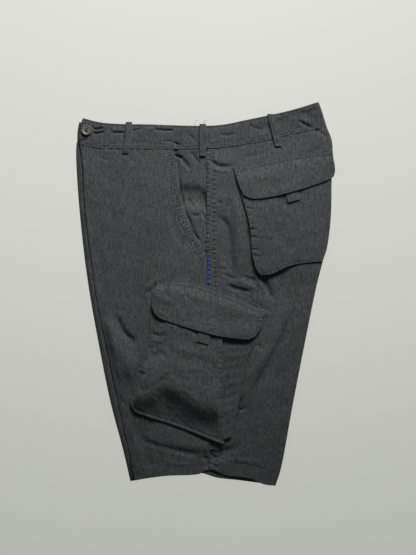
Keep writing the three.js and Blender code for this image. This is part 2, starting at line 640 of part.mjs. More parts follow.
// A turned or drilled piece as a solid for cutting, and back
const solidOf = (geometry) => {
  geometry.deleteAttribute('normal');
  geometry.deleteAttribute('uv');
  const bare = mergeVertices(geometry, 1e-5);
  return new wasm.Manifold(new wasm.Mesh({
    numProp: 3,
    vertProperties: new Float32Array(bare.attributes.position.array),
    triVerts: new Uint32Array(bare.index.array),
  }));
};
const geometryOf = (solid) => {
  const mesh = solid.getMesh();
  const geometry = new THREE.BufferGeometry();
  geometry.setAttribute('position', new THREE.BufferAttribute(mesh.vertProperties, 3));
  geometry.setIndex(new THREE.BufferAttribute(mesh.triVerts, 1));
  geometry.computeVertexNormals();
  return geometry;
};

// Button: turned with a raised rim round a dished middle, and four holes through it
function button() {
  const { radius, thick, rim, dish, hole, holeOut } = BUTTON;
  const profile = table(['out', 'up'],
    [0, 0], [radius * 0.72, 0], [radius * 0.94, thick * 0.22], [radius, thick * 0.55],
    [radius - rim * 0.35, thick * 0.93], [radius - rim, thick], [radius - rim * 1.9, thick - dish],
    [0, thick - dish]).map((row) => new THREE.Vector2(row.out, row.up));
  let body = solidOf(new THREE.LatheGeometry(profile, 26));
  for (const [sx, sy] of [[1, 1], [1, -1], [-1, 1], [-1, -1]]) {
    const drill = new THREE.CylinderGeometry(hole, hole, 3 * thick, 10);
    drill.translate(sx * holeOut, thick / 2, sy * holeOut);
    body = body.subtract(solidOf(drill));
  }
  return geometryOf(body).rotateX(Math.PI / 2);
}

const shorts = new THREE.Group();
const cloth = (color) => new THREE.MeshStandardMaterial({ color, roughness: 0.92, metalness: 0 });
function add(name, geometry, material) {
  const mesh = new THREE.Mesh(geometry, material);
  mesh.name = name;
  shorts.add(mesh);
  return mesh;
}

add('front_panel', frontPanel(), cloth(GREY));
add('back_panel', backPanel(), cloth(GREY));
add('folded_layers', foldedLayers(), cloth(GREY_DARK));
add('waistband_left', waistbandLeft(), cloth(GREY));
add('waistband_right', waistbandRight(), cloth(GREY_DARK));
add('pocket_facing', pocketFacing(), cloth(GREY));
add('back_pocket', backPocket(), cloth(GREY));
add('back_gusset', backGusset(), cloth(GREY_DARK));
add('back_flap', backFlap(), cloth(GREY));
add('back_tab', backTab(), cloth(GREY));
add('cargo_pocket', cargoPocket(), cloth(GREY));
add('cargo_gusset', cargoGusset(), cloth(GREY_DARK));
add('cargo_flap', cargoFlap(), cloth(GREY));
add('cargo_tab', cargoTab(), cloth(GREY));
for (const [name, rows] of Object.entries(LOOPS)) add(name, beltLoop(rows), cloth(GREY));

const horn = new THREE.MeshStandardMaterial({ color: HORN, roughness: 0.35, metalness: 0 });
const bandFace = top(BUTTON.x, BUTTON.y) + BAND_PROUD;
add('button', button(), horn).position.set(BUTTON.x, BUTTON.y, bandFace + 2 * SEAM);

export default shorts;
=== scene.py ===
import math

import bpy
import numpy as np
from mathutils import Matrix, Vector


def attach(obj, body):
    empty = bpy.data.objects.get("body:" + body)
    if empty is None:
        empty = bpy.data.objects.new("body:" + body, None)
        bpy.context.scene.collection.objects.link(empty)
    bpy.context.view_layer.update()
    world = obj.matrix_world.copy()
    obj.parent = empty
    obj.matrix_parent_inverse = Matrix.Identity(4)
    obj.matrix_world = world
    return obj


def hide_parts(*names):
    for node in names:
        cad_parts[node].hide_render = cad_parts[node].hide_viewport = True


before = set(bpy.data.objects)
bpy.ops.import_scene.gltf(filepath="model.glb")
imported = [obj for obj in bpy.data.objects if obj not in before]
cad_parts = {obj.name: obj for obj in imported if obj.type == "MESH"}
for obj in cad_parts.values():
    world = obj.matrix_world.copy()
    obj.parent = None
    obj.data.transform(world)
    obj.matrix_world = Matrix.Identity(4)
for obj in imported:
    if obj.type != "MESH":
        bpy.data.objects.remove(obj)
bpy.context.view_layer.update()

bl_info = {
    "name": "Folded cargo shorts",
    "version": (1, 0, 0),
    "blender": (4, 5, 0),
    "location": "View3D > Sidebar > Shorts",
    "description": "Grey melange cargo shorts folded in half and laid flat, built piece by piece",
    "category": "Add Mesh",
}

# Every shape below is worked out in millimetres and put into its mesh in metres.
MM = 0.001
BODY = "root"

# Thickness of each kind of piece, and the gap at a seam
CLOTH, BAND, STRAP, FLAP, SEAM = 1.2, 2.5, 1.5, 1.8, 0.3
SEWN = CLOTH + SEAM

# Share of half its thickness by which a piece is rounded at its edges
EDGE_ROUND = 0.9

# A folded edge: the outer radius of the turn, how far the cloth runs back under itself, and the steps round
ROLL, RETURN, ROLL_STEPS = 2.5, 2, 10

# Height of the stack: along its folded edges, its crown, and its falls to the waist and the hem
EDGE_TOP, CROWN, WAIST_FALL, WAIST_FADE, HEM_FALL, HEM_FADE = 10.3, 2.2, 2.6, 60, 1.2, 45

# The waistband: its height, how far it stands proud, and the stand of its top edge past the button, to
# which more is added near centre back
BAND_HEIGHT, BAND_PROUD, BAND_STAND, BACK_STAND = 41, 0.8, 1.8, 3.2

# Grid pitch of the leg panels across and along, of the pockets, of small pieces and over sewn margins, then
# of the waistband along its length and of its under half
PANEL_PITCH, ROW_PITCH, POCKET_PITCH, FINE_PITCH, MARGIN_PITCH = 2.3, 1.3, 1.35, 1.15, 0.95
BAND_PITCH, UNDER_PITCH = 1.25, 2.4

# Lengths over which the grids of the leg panels and of the waistband are spaced, and the width of the close
# grid over a sewn margin
PANEL_LENGTH, BAND_LENGTH, SEWN_MARGIN = 540, 400, 17

# Grid of the hidden layers
LAYER_COLUMNS, LAYER_ROWS, LAYER_RINGS = 60, 110, 34

# How much deeper the finer creases are than their tables say, and the waistband's again
CREASE_GAIN, BAND_GAIN = 1.5, 1.3

# Share of a symmetric fold of the solids that a leaning one takes the place of
LEAN_TAKES = 0.6

# Half width of a seam's groove, then the size, pitch and phase of the three sines of its puckers, as shares
# of the row's own
GROOVE = 1.5
PUCKER_WAVES = [(1, 1, 1), (0.6, 0.63, 2.1), (0.5, 1.9, 0.7)]

# One stitch: the shares of its length at which its rings stand, their sizes, how far each is raised, and
# how flat the thread lies. Threads have six sides.
STITCH_ALONG = np.array([-0.5, -0.3, 0, 0.3, 0.5])
STITCH_SWELL = np.array([0.35, 0.9, 1.0, 0.9, 0.35])
STITCH_RISE = np.array([-0.7, 0.0, 0.3, 0.0, -0.7])
STITCH_FLAT = 0.7
SIDES = 6

# The painted floor lies this far below the surface, so that no face of the shorts meets it
FLOOR_DROP = 0.3


def smooth(low, high, value):
    """Soft step from 0 at low to 1 at high: t squared times (3 - 2t)"""
    t = np.clip((value - low) / (high - low), 0, 1)
    return t * t * (3 - 2 * t)


def mix(a, b, t):
    """Straight blend from a to b"""
    return a + (b - a) * t


def length_run(points):
    """Length run from the start of a broken line to each of its points"""
    return np.concatenate([[0], np.cumsum(np.linalg.norm(np.diff(points, axis=0), axis=1))])


class Line:
    """Smooth curve through a table of points. Each span is a cubic whose end slopes weigh the neighbouring
    spans by the square root of their lengths, and the curve is read by the share of its length."""

    def __init__(self, rows, samples=28):
        p = np.asarray(rows, float)
        p = np.vstack([2 * p[0] - p[1], p, 2 * p[-1] - p[-2]])
        step = np.sqrt(np.maximum(np.linalg.norm(np.diff(p, axis=0), axis=1), 1e-4))[:, None]
        p0, p1, p2, p3 = p[:-3], p[1:-2], p[2:-1], p[3:]
        d0, d1, d2 = step[:-2], step[1:-1], step[2:]
        start = ((p1 - p0) / d0 - (p2 - p0) / (d0 + d1) + (p2 - p1) / d1) * d1
        end = ((p2 - p1) / d1 - (p3 - p1) / (d1 + d2) + (p3 - p2) / d2) * d1
        t = np.linspace(0, 1, samples, endpoint=False)[None, :, None]
        a, b, c, d = (q[:, None, :] for q in (p1, p2, start, end))
        curve = a + c * t + (3 * b - 3 * a - 2 * c - d) * t ** 2 + (2 * a - 2 * b + c + d) * t ** 3
        self.points = np.vstack([curve.reshape(-1, p.shape[1]), p[-2]])
        run = length_run(self.points)
        self.share = run / run[-1]

    def __call__(self, t):
        t = np.clip(t, 0, 1)
        return np.stack([np.interp(t, self.share, column) for column in self.points.T], -1)

    def y_at(self, x):
        """Height of the line at a given width"""
        order = np.argsort(self.points[:, 0])
        return np.interp(x, self.points[order, 0], self.points[order, 1])

    def x_at(self, y):
        """Width of the line at a given height"""
        order = np.argsort(self.points[:, 1])
        return np.interp(y, self.points[order, 1], self.points[order, 0])


# Outlines of the top leg, from the waist down
FRONT_EDGE = Line([(-205.4, 246.6), (-203.4, 233), (-200, 207), (-197.7, 154), (-194, 113), (-185.6, 47),
                   (-177.4, -11), (-159, -97), (-138, -200), (-123, -266), (-115.5, -304)])
BACK_EDGE = Line([(199, 273), (207, 251), (207.6, 220), (202.6, 121), (196.4, 75), (180.7, 9),
                  (162.5, -80), (142.2, -184), (123.2, -286), (115, -312)])

# The slash pocket's opening: its place at the waist, and its lower end on the side seam
OPENING_X, SIDE_X, OPENING_LOW = -50.3, 2.5, 65
SIDE_ROWS = [(SIDE_X, 237), (SIDE_X, 154), (SIDE_X, OPENING_LOW), (5, 19), (9, -120), (9, -242),
             (5.8, -287)]
SIDE_SEAM = Line(SIDE_ROWS)
SIDE_LOW = Line(SIDE_ROWS[2:])
OPENING = Line([(OPENING_X, 237), (-47.9, 212), (-43.7, 171), (-35.5, 134.5), (-20.6, 101.5), (-5, 73.5),
                (SIDE_X, OPENING_LOW)])

# Outlines from the front edge to the back edge
WAIST_SEAM = Line([(-205.6, 247), (-196, 242.4), (-179, 238.6), (-123, 237), (-11, 237), (32, 239.6),
                   (93, 249), (139, 260), (199, 273)])
WAIST_TOP = Line([(-199.8, 288), (-174, 281.3), (-141, 278), (-92, 277), (-17, 274.7), (27, 276.4),
                  (73, 285.5), (139, 299.5), (185, 313.5)])
HEM = Line([(-115.5, -304), (-91.6, -299.5), (-58.6, -295.5), (-25, -294.5), (-9, -292.5), (1, -287.6),
            (12.4, -286.6), (34, -295), (58.6, -297.8), (78.4, -302), (95, -309.5), (115, -312.5)])

# Outlines of the right leg that lies under, where they differ
UNDER_FRONT = Line([(-211, 250.5), (-212, 236), (-208.9, 171), (-199.7, 75), (-189, -2), (-174, -85),
                    (-155.6, -176), (-134, -258), (-123, -307)])
UNDER_WAIST = Line([(-211, 250.5), (-196, 250), (-170, 243.5), (-140, 237.5), (-110, 236), (-11, 236),
                    (32, 238.8), (93, 248), (139, 259), (197, 271)])
UNDER_HEM = Line([(-123, -307), (-91, -298), (-58, -293.8), (-25, -293), (-4, -293.7), (17, -300.3),
                  (57, -305.3), (93, -310), (113, -312)])

# Ends of the waistbands, from the top edge down
BAND_FRONT_END = Line([(-199.8, 288), (-202.3, 281.3), (-203.4, 274), (-204.8, 265), (-206, 255),
                       (-205.6, 247)])
BAND_BACK_END = Line([(185, 313.5), (189, 303), (195.5, 285), (199.3, 273.4)])
UNDER_BAND_FRONT = Line([(-207, 282.5), (-209.4, 271), (-210.1, 262), (-210, 251.2)])
UNDER_BAND_BACK = Line([(180, 309.5), (184, 299), (190, 283), (193.5, 271.6)])
UNDER_BAND_TOP = Line([(-207, 282.5), (-174, 279.5), (-141, 276.5), (-92, 275.5), (-17, 273), (27, 275),
                       (73, 284), (139, 298), (180, 309.5)])

# Soft swells of the stack over the hidden pockets: middle x and y, reach x and y, height
SWELLS = [(-25, -105, 135, 150, 5.2), (130, 120, 120, 120, 3.2)]

# Folds and creases: the points along each, its half width and its rise (a valley is negative).
# First the main folds, which the solids share.
PANEL_FOLDS = [
    ([(14, 126), (30, 117), (36, 92), (38, 30)], 12, -3),
    ([(46, 168), (52, 125), (54, 80), (52, 32)], 11, 2.4),
    ([(158, 20), (132, -55), (100, -125), (58, -188)], 13, -3),
    ([(120, -20), (108, -70), (84, -118), (60, -150)], 14, 1.8),
    ([(-147, -28), (-139, -55), (-122, -74), (-104, -84)], 10, -2),
    ([(-149, -77), (-138, -110), (-129, -140), (-120, -174)], 11, -2.2),
    ([(-88, -228), (-40, -252), (20, -262), (62, -246)], 13, -2.6),
    ([(2, 226), (16, 212), (30, 208), (46, 209)], 7, -1.6),
    ([(-46, 172), (-30, 171), (-14, 169), (-2, 164)], 13, -1.6),
    ([(92, 38), (98, 18), (104, 2), (110, -14)], 8, -1.8),
    ([(36, 22), (52, 17), (68, 13), (84, 8)], 6, 1.1),
    ([(-170, 190), (-168, 130), (-160, 60), (-152, 5)], 16, 0.8),
    ([(-120, 215), (-116, 150), (-120, 90), (-112, 40)], 20, -0.7),
    ([(98, -70), (92, -125), (82, -190), (70, -240)], 12, 1.4),
    ([(-118, -205), (-104, -235), (-96, -262), (-92, -290)], 12, -1.4),
]
CARGO_FOLDS = [
    ([(-124, -172), (-80, -155), (-42, -167), (26, -194)], 12, -2.2),
    ([(-118, -186), (-78, -174), (-34, -191), (22, -216)], 10, 1.4),
    ([(-96, -84), (-86, -100), (-72, -96), (-58, -104)], 8, -1.4),
    ([(-60, -75), (-30, -92), (0, -96), (24, -120)], 12, 1.2),
]

# Of these, the ones that the leaning folds further down take the place of
FRONT_TAKEN, BACK_TAKEN, CARGO_TAKEN = PANEL_FOLDS[5:7], PANEL_FOLDS[2:3], CARGO_FOLDS[:2]

# Then the finer creases of each piece
FRONT_CREASES = [
    ([(-146, -31), (-139, -49), (-130, -65), (-113, -78)], 5, -0.8),
    ([(-156, -77), (-149, -101), (-141, -114), (-134, -135), (-127, -157), (-122, -174)], 14, -0.5),
    ([(-200, 236), (-197, 207), (-194, 154), (-190, 113), (-184, 60)], 3, 0.6),
    ([(-78, 21), (-84, 10), (-98, -1)], 4, -1.3),
    ([(-74, 28), (-84, 20), (-99, 8)], 5, 0.6),
    ([(-172, 226), (-162, 219), (-150, 223)], 4, -0.6),
    ([(-168, 238), (-160, 231), (-148, 234)], 4, 0.5),
    ([(-128, 228), (-121, 219), (-112, 214)], 4, -0.5),
    ([(-60, 150), (-54, 120), (-44, 96), (-30, 70)], 9, -0.8),
    ([(-70, 66), (-66, 20), (-72, -10)], 10, 0.4),
    ([(-176, 90), (-170, 40), (-160, -20)], 8, -0.4),
    ([(-141, -168), (-136, -200), (-130, -232), (-122, -266)], 5, -0.8),
    ([(-150, -150), (-140, -172), (-128, -184)], 7, -0.8),
    ([(-112, -232), (-80, -246), (-40, -256), (-6, -262)], 7, -0.8),
    ([(-70, -272), (-40, -276), (-12, -270)], 6, 0.5),
    ([(0, -262), (2, -272), (1, -285)], 7, -1.3),
]
BACK_CREASES = [
    ([(10, 217), (19, 210), (32, 208), (46, 209)], 4, -0.5),
    ([(14, 204), (26, 200), (42, 201)], 4, 0.5),
    ([(14, 128), (26, 124), (35, 114), (40, 97), (42, 72), (44, 30)], 4, -0.7),
    ([(18, 152), (23, 149), (29, 148)], 4, -0.8),
    ([(26, 166), (30, 150), (32, 134)], 6, 0.5),
    ([(34, 17), (48, 9), (62, 6), (76, 1)], 5, -1.0),
    ([(26, 36), (40, 28), (52, 24)], 4, -0.8),
    ([(60, -138), (57, -170), (51, -200), (46, -222), (39, -242)], 4.5, -1.3),
    ([(44, 26), (60, 20), (76, 13), (90, 4)], 4, 0.7),
    ([(56, 30), (68, 27), (84, 21)], 5, -1.0),
    ([(60, -2), (74, -4), (86, -10)], 4, 0.6),
    ([(52, 4), (66, -2), (80, -8)], 4, -0.9),
    ([(90, 38), (98, 18), (104, 2), (108, -12)], 6, -1.2),
    ([(80, 36), (86, 22), (92, 8)], 5, 0.7),
    ([(154, -6), (143, -28), (130, -58), (117, -84), (102, -114), (86, -141), (64, -176)], 5, -0.9),
    ([(79, -81), (88, -84), (97, -93)], 4, -0.9),
    ([(84, -14), (94, -22), (106, -26)], 4, -0.8),
    ([(88, -28), (98, -31), (108, -36)], 4, 0.6),
    ([(50, -186), (60, -188), (68, -180)], 5, -0.9),
    ([(160, -6), (150, -44), (136, -78), (120, -108)], 7, 0.6),
    ([(62, -166), (54, -176), (50, -196), (46, -214)], 7, -1.1),
    ([(16, -262), (12, -272), (11, -284)], 6, -1.2),
    ([(14, -246), (36, -252), (62, -242)], 9, -1.0),
    ([(40, -270), (70, -272), (98, -278)], 8, 0.5),
    ([(124, -150), (116, -196), (106, -240), (100, -270)], 8, -0.4),
    ([(60, 225), (80, 226), (104, 234)], 6, -0.5),
    ([(18, 45), (30, 40), (44, 44)], 5, -0.6),
    ([(176, 270), (186, 265), (200, 254)], 5, -1.0),
]
BAND_CREASES = [
    ([(-184, 270), (-176, 270), (-164, 271.5)], 2.4, -1.3),
    ([(-184, 262), (-175, 263), (-163, 265.5)], 2.4, -1.3),
    ([(-154, 263), (-142, 263), (-129, 263)], 2.6, -0.8),
    ([(-154, 268), (-142, 268), (-129, 267)], 2.6, 0.4),
    ([(-120, 265), (-110, 268), (-98, 271.5)], 2.6, -0.7),
    ([(-84, 268), (-68, 267), (-49, 266.5)], 3, -0.8),
    ([(-86, 273), (-66, 272), (-46, 270)], 3, 0.35),
    ([(-118, 248), (-104, 248), (-90, 248)], 3, -0.35),
    ([(-72, 250), (-62, 249), (-53, 249)], 2.6, -0.5),
    ([(-53, 248), (-47, 246), (-41, 243)], 2.6, -0.8),
    ([(-30, 262), (-20, 254), (-14, 244)], 4, -0.5),
    ([(-170, 243), (-162, 240), (-154, 243)], 3, -0.6),
    ([(60, 262), (100, 272), (150, 288)], 10, -0.4),
    ([(-208, 246), (-201, 251), (-192, 252.5)], 2.4, -0.9),
    ([(150, 284), (164, 276), (178, 270)], 4, -0.9),
    ([(132, 292), (152, 292), (184, 288)], 9, -0.9),
    ([(20, 262), (34, 259), (52, 262)], 4, -0.6),
    ([(70, 276), (84, 270), (96, 268)], 4, -0.5),
    ([(150, 296), (166, 297), (184, 302)], 6, -0.6),
]
FACING_CREASES = [
    ([(-50, 262), (-45.4, 212), (-41.2, 171), (-33, 135.5), (-18.6, 103), (-2, 72)], 5, -1.5),
    ([(-56, 226), (-47, 226), (-36, 222)], 3.4, -1.5),
    ([(-46, 226), (-40, 222), (-31, 212), (-23, 201)], 5, -1.4),
    ([(-26, 234), (-18, 224), (-8, 210)], 5, -1.0),
    ([(-36, 232), (-28, 222), (-18, 212)], 5, 0.8),
    ([(-34, 196), (-29, 198), (-24, 202)], 3, -0.7),
    ([(-64, 158), (-26, 157), (20, 150)], 22, -3.0),
    ([(-30, 156), (-24, 150), (-18, 140)], 5, -1.0),
    ([(-10, 140), (-2, 128), (4, 118)], 5, -0.9),
    ([(-24, 132), (-16, 128), (-8, 130)], 4, -0.8),
    ([(-3, 168), (-2, 156), (0, 148)], 4, -0.9),
    ([(-30, 116), (-20, 100), (-8, 84)], 4, -1.2),
]
CARGO_CREASES = [
    ([(-112, -150), (-98, -154), (-84, -147), (-66, -136), (-52, -138)], 6, -0.5),
    ([(-50, -148), (-30, -156), (-14, -168), (4, -178)], 6, 0.4),
    ([(-95, -56), (-92, -72), (-97, -84)], 5, -1.0),
    ([(-90, -62), (-76, -67), (-62, -65)], 4, -0.8),
    ([(-98, -82), (-90, -86), (-80, -85)], 4, -0.8),
    ([(-88, -72), (-78, -76), (-66, -75)], 4, 0.6),
    ([(-130, -116), (-112, -126), (-92, -130)], 5, -1.3),
    ([(-104, -112), (-94, -118), (-84, -116)], 5, 0.5),
    ([(-60, -110), (-30, -118), (0, -116)], 12, 0.6),
    ([(-52, -132), (-30, -138), (-6, -136)], 9, -0.4),
    ([(6, -90), (12, -120), (14, -150)], 7, -0.5),
    ([(-106, -140), (-104, -154), (-112, -164)], 6, -0.7),
]
CARGO_FLAP_CREASES = [
    ([(-86, -7), (-79, -17), (-67, -22), (-50, -24)], 7, -0.8),
    ([(-80, 4), (-68, -8), (-50, -12)], 7, 0.5),
    ([(-16, -14), (-18, -22), (-22, -30)], 4, -0.6),
    ([(-30, 2), (-10, -6), (12, -14)], 8, 0.4),
    ([(30, -34), (50, -42), (72, -46)], 9, -0.6),
    ([(-82, 10), (-74, 14), (-64, 12)], 4, -1.0),
    ([(-72, 22), (-66, 10), (-66, -2)], 5, -0.8),
    ([(62, -16), (74, -18), (88, -26)], 4, -0.9),
    ([(-34, 14), (-30, 4), (-32, -8)], 6, -0.5),
    ([(-8, -46.5), (6, -48.5), (18, -50)], 1.8, -0.6),
    ([(60, -20), (76, -26), (90, -34)], 5, -0.5),
]
BACK_POCKET_CREASES = [
    ([(66, 139), (72, 139), (78, 137)], 3.4, -0.8),
    ([(71, 106), (77, 105), (84, 106)], 3.4, -0.9),
    ([(73, 94), (79, 93), (88, 91)], 3.2, -0.8),
    ([(75, 73), (81, 72), (87, 73)], 3.2, -0.7),
    ([(76, 63), (82, 62), (90, 60)], 3.2, -0.7),
    ([(70, 128), (76, 122), (78, 114)], 5, 0.5),
    ([(110, 150), (140, 146), (176, 154)], 10, -0.4),
    ([(120, 100), (128, 84), (144, 70)], 10, -0.4),
]
BACK_FLAP_CREASES = [
    ([(92, 208), (96, 198), (94, 188)], 4, -0.4),
    ([(124, 214), (130, 204), (130, 192)], 5, -0.5),
    ([(140, 218), (150, 206), (154, 192)], 6, 0.4),
    ([(168, 220), (176, 212), (190, 208)], 6, -0.4),
]

# Folds that lean over: the points along each crest, its broad reach on the left of the line, its steep
# reach on the right, and its rise
FRONT_LEANS = [
    ([(-178, -34), (-164, -70), (-150, -95), (-134, -113), (-106, -126)], 22, 28, 6.3),
    ([(-140, -25), (-131, -42), (-121, -57), (-106, -70)], 12, 6, 0.85),
    ([(-190, 226), (-187, 180), (-186, 150), (-184, 110)], 9, 4, 0.5),
    ([(-100, -226), (-70, -238), (-40, -244), (20, -250)], 16, 10, 1.9),
]
BACK_LEANS = [
    ([(18, 134), (30, 130), (42, 123), (49, 108), (52, 85), (53, 58), (54, 29)], 11, 4.5, 0.3),
    ([(10, 222), (20, 215), (32, 213), (46, 214)], 8, 3, 0.3),
    ([(30, 22), (46, 16), (62, 12), (80, 7)], 7, 3, 0.4),
    ([(100, 46), (106, 26), (112, 6)], 8, 4, 0.6),
    ([(46, -198), (68, -168), (83, -138), (98, -111), (113, -81), (127, -55), (140, -25), (152, 0)], 26, 7,
     3.0),
    ([(14, -247), (30, -250), (46, -248), (60, -242)], 5, 6, 0.7),
]
CARGO_LEANS = [
    ([(-164, -146), (-119, -160), (-106, -163), (-93, -160), (-83, -152), (-72, -144), (-60, -142),
      (-45, -152), (-30, -162), (-14, -174), (4, -182), (24, -181), (60, -170)], 46, 21, 8.3),
    ([(-98, -58), (-96, -68), (-98, -80)], 8, 3, 0.6),
    ([(-118, -108), (-108, -118), (-96, -124)], 10, 4, 0.7),
    ([(-90, -54), (-76, -60), (-62, -59)], 8, 3, 0.5),
]

# Ripples of each piece: the seed, the size and the height of each set of waves
FRONT_RIPPLES = [(3, 46, 0.3), (4, 15, 0.12)]
BACK_RIPPLES = [(5, 42, 0.3), (6, 15, 0.12)]
BAND_RIPPLES = [(7, 30, 0.24), (8, 13, 0.14)]
BACK_POCKET_RIPPLES = [(11, 34, 0.26), (12, 15, 0.12)]
BACK_FLAP_RIPPLES = [(13, 36, 0.22), (14, 14, 0.12)]
CARGO_RIPPLES = [(17, 38, 0.32), (18, 15, 0.15)]
CARGO_FLAP_RIPPLES = [(19, 32, 0.26), (20, 14, 0.12)]
FACING_RIPPLES = [(23, 26, 0.25)]

# Edge of the folded layers from the top down, as (in from the edge, height) for the front, back, hem and
# waist sides, where 2 is the top of the stack, 1 the height where the two legs meet, and 0 the surface
LAYER_EDGE = [
    (26, 2, 9.5, 2, 4, 2, 12.5, 2),
    (24.6, 1.5, 8.8, 1.5, 2.2, 1.86, 11.5, 1.5),
    (24, 1.04, 8.2, 1.04, 1.6, 1.5, 11, 1.04),
    (9, 1, 6, 1, 3.2, 1.1, 1, 1),
    (8.5, 1.8, 4.6, 0.97, 0.4, 0.94, 0.4, 0.94),
    (5.4, 1.9, 3, 0.84, 0.2, 0.64, 0.3, 0.64),
    (1.6, 1.5, 2, 0.5, 2, 0.5, 0.3, 0.5),
    (0, 0.8, 2.3, 0.28, 0.3, 0.36, 0.3, 0.36),
    (1, 0.1, 3, 0.1, 0, 0.1, 0.3, 0.1),
    (2.6, 0, 4.6, 0, 0.8, 0, 0.4, 0),
]
# Room left for the panels' creases over the middle of the stack
CREASE_ROOM = 1.4
# Inset at which the under leg's front edge would touch the upper one, and the limit of those that follow it
FRONT_ROOM, ROOM_LIMIT = 9, 10
# Share by which the under leg's front edge stands higher between the cargo pocket and the waist
FRONT_FLUSH = 0.3
# Share of a side over which two sides' heights are blended at a corner
CORNER_BLEND = 0.05

# Back pocket and its flap
BACK_POCKET = {
    "left": Line([(53.6, 182), (60, 157), (66.8, 134.5), (73.4, 101.5), (76.7, 63.5), (82, 42)]),
    "bottom": Line([(82, 42), (90, 32), (106.4, 33), (139.4, 47), (172.4, 52), (191, 53.4)]),
    "right": Line([(205.4, 205), (205.4, 154.3), (204, 121.3), (198, 75), (191, 53.4)]),
    "top": Line([(53.6, 182), (100, 189), (150, 196), (205.4, 205)]),
}
BACK_FLAP = {
    "left": Line([(45.4, 206.3), (50.3, 190.6), (55.3, 175.7), (62, 161)]),
    "bottom": Line([(62, 161), (72, 156), (86.6, 155), (127.9, 162.5), (172.4, 175.7), (203.8, 188),
                    (209.5, 192.5)]),
    "right": Line([(207.5, 236), (208.5, 222), (211.2, 203), (209.5, 192.5)]),
    "top": Line([(45.4, 206.3), (73.4, 212.9), (139.4, 226.9), (172.4, 231.8), (207.5, 236)]),
}
BACK_TAB = (Line([(129, 171), (130.8, 163), (133.7, 148.5)]),
            Line([(149.5, 175), (151, 167.5), (153.5, 153.5)]))

# Cargo pocket, its gusset, flap and tab
CARGO_POCKET = {
    "left": Line([(-83, -5), (-88.3, -30.5), (-93.2, -76.7), (-108, -126.2), (-122.9, -176)]),
    "bottom": Line([(-122.9, -176), (-116, -190), (-104.8, -195.5), (-42, -216), (10.7, -236.8),
                    (31, -244)]),
    "right": Line([(29, -20), (27.2, -126), (28.9, -192), (31, -244)]),
    "top": Line([(-83, -5), (-30, -10), (29, -20)]),
}
CARGO_GUSSET = {
    "left": Line([(24, -40), (23.4, -126), (25, -192), (27.5, -240)]),
    "right": Line([(88, -46), (81.7, -76.7), (66.8, -109.7), (58.6, -159.2), (50.3, -195.5), (42, -235)]),
    "top": Line([(24, -40), (56, -43), (88, -46)]),
    "bottom": Line([(27.5, -240), (35, -238), (42, -235)]),
}
CARGO_FLAP = {
    "left": Line([(-78.4, 19), (-83.3, -2.5), (-86.6, -19), (-82, -31)]),
    "bottom": Line([(-82, -31), (-73.4, -38), (-42, -49.5), (20.6, -66.8), (53.6, -71.8), (70, -72.5),
                    (82, -67)]),
    "right": Line([(99.8, -22.3), (94, -38), (91, -52), (82, -67)]),
    "top": Line([(-78.4, 19), (-55.3, 23.9), (-17.3, 19), (24, 5.8), (65, -9), (99.8, -22.3)]),
}
CARGO_TAB = (Line([(-8, -50), (-10.5, -60), (-14.9, -76)]), Line([(10.5, -55), (8.5, -64), (5, -81)]))

# Belt loops: their width, their arch, the gap under their ends, how far they run past the waist seam, and
# the ridge along their middle. Then the middle line of each, from above the waistband's top edge down.
LOOP_WIDTH, LOOP_ARCH, LOOP_REST, LOOP_PAST, LOOP_RIDGE = 10.5, 0.9, 0.15, 9, 0.18
LOOPS = {
    "belt_loop_front": [(-124, 280.5), (-125, 256), (-130, 229.5)],
    "belt_loop_side": [(-4, 277.3), (-4, 250), (-4, 225)],
    "belt_loop_back": [(105.6, 293.3), (111, 273), (118.8, 241)],
}

# Button: its middle, its thickness, the depth of its dish, and how far its holes lie from its middle. Then
# how deep its thread starts, how high it arches, and its radius.
BUTTON_X, BUTTON_Y, BUTTON_THICK, BUTTON_DISH, HOLE_OUT = -193.1, 267.6, 3, 0.9, 1.8
THREAD_SUNK, THREAD_ARCH, THREAD_THICK = 0.6, 1.1, 0.3
BUTTONHOLE = Line([(-183, 266.5), (-176, 268.4), (-168, 269.4), (-165.5, 267.2), (-168, 265),
                   (-176, 264.4), (-183, 264.9)])

# How far the back pocket stands off the panel beyond its seams: along its side, the share of that at its
# top, and along its bottom
BACK_SIDE, BACK_TOP_SHARE, BACK_LOW = 3.4, 0.45, 1.6

# The same for the cargo pocket: its belly, its bellows side, its bottom, and the most of all three
CARGO_BELLY, CARGO_SIDE, CARGO_LOW, CARGO_MOST = 4.2, 1.2, 1.6, 5.2

# The bellows: its stand, its rise towards the pocket and at its low end, the share of its length at which it
# starts to close to the panel, and the height and width of the rim along the panel
GUSSET_LOOSE, GUSSET_RISE, GUSSET_LOW_RISE, GUSSET_CLOSE = 0.5, 1.8, 1.4, 0.975
GUSSET_RIM, GUSSET_RIM_WIDE = 0.5, 0.08

# Its puckers: the height, the number down its length and the lean of the broad ones and of the fine ones
GUSSET_PUCKERS = [(0.35, 4.5, 0), (0.32, 13.3, 4)]

# How far the cargo pocket's lower edge lies lower than on its solid, away from the bellows
CARGO_THIN = 1.3

# Least height of the cargo flap over the panel
FLAP_LEVEL = 4.6

# How far a flap's fine relief may sink at its free edge, and how much further near each flap's seam
FLAP_SINK, BACK_FLAP_MORE, CARGO_FLAP_MORE = 0.25, 0.5, 0.6

# The room under a flap for its pull tab: the middle of each tab, the flap's rise over it, the half width
# that is full, and where it ends. Then the curl of a tab's free end.
BACK_TAB_X, CARGO_TAB_X, TAB_RISE, TAB_HALF, TAB_FADE = 139, 0, 1.7, 12, 24
TAB_CURL = 0.3

# Facing of the slash pocket: how far it runs under the front panel, how far under the back panel, how far
# its edge lies below, and its rise to the waist seam. Then the well in the stack under it, and its slope.
FACING_UNDER, FACING_TUCK, FACING_BELOW, FACING_LEVEL, FACING_WELL, WELL_SLOPE = 6, 3, 0.8, 1.3, 4.4, 16


def moved(line, dx, dy=0):
    """A line shifted sideways"""
    return lambda t: line(t) + np.array([dx, dy])


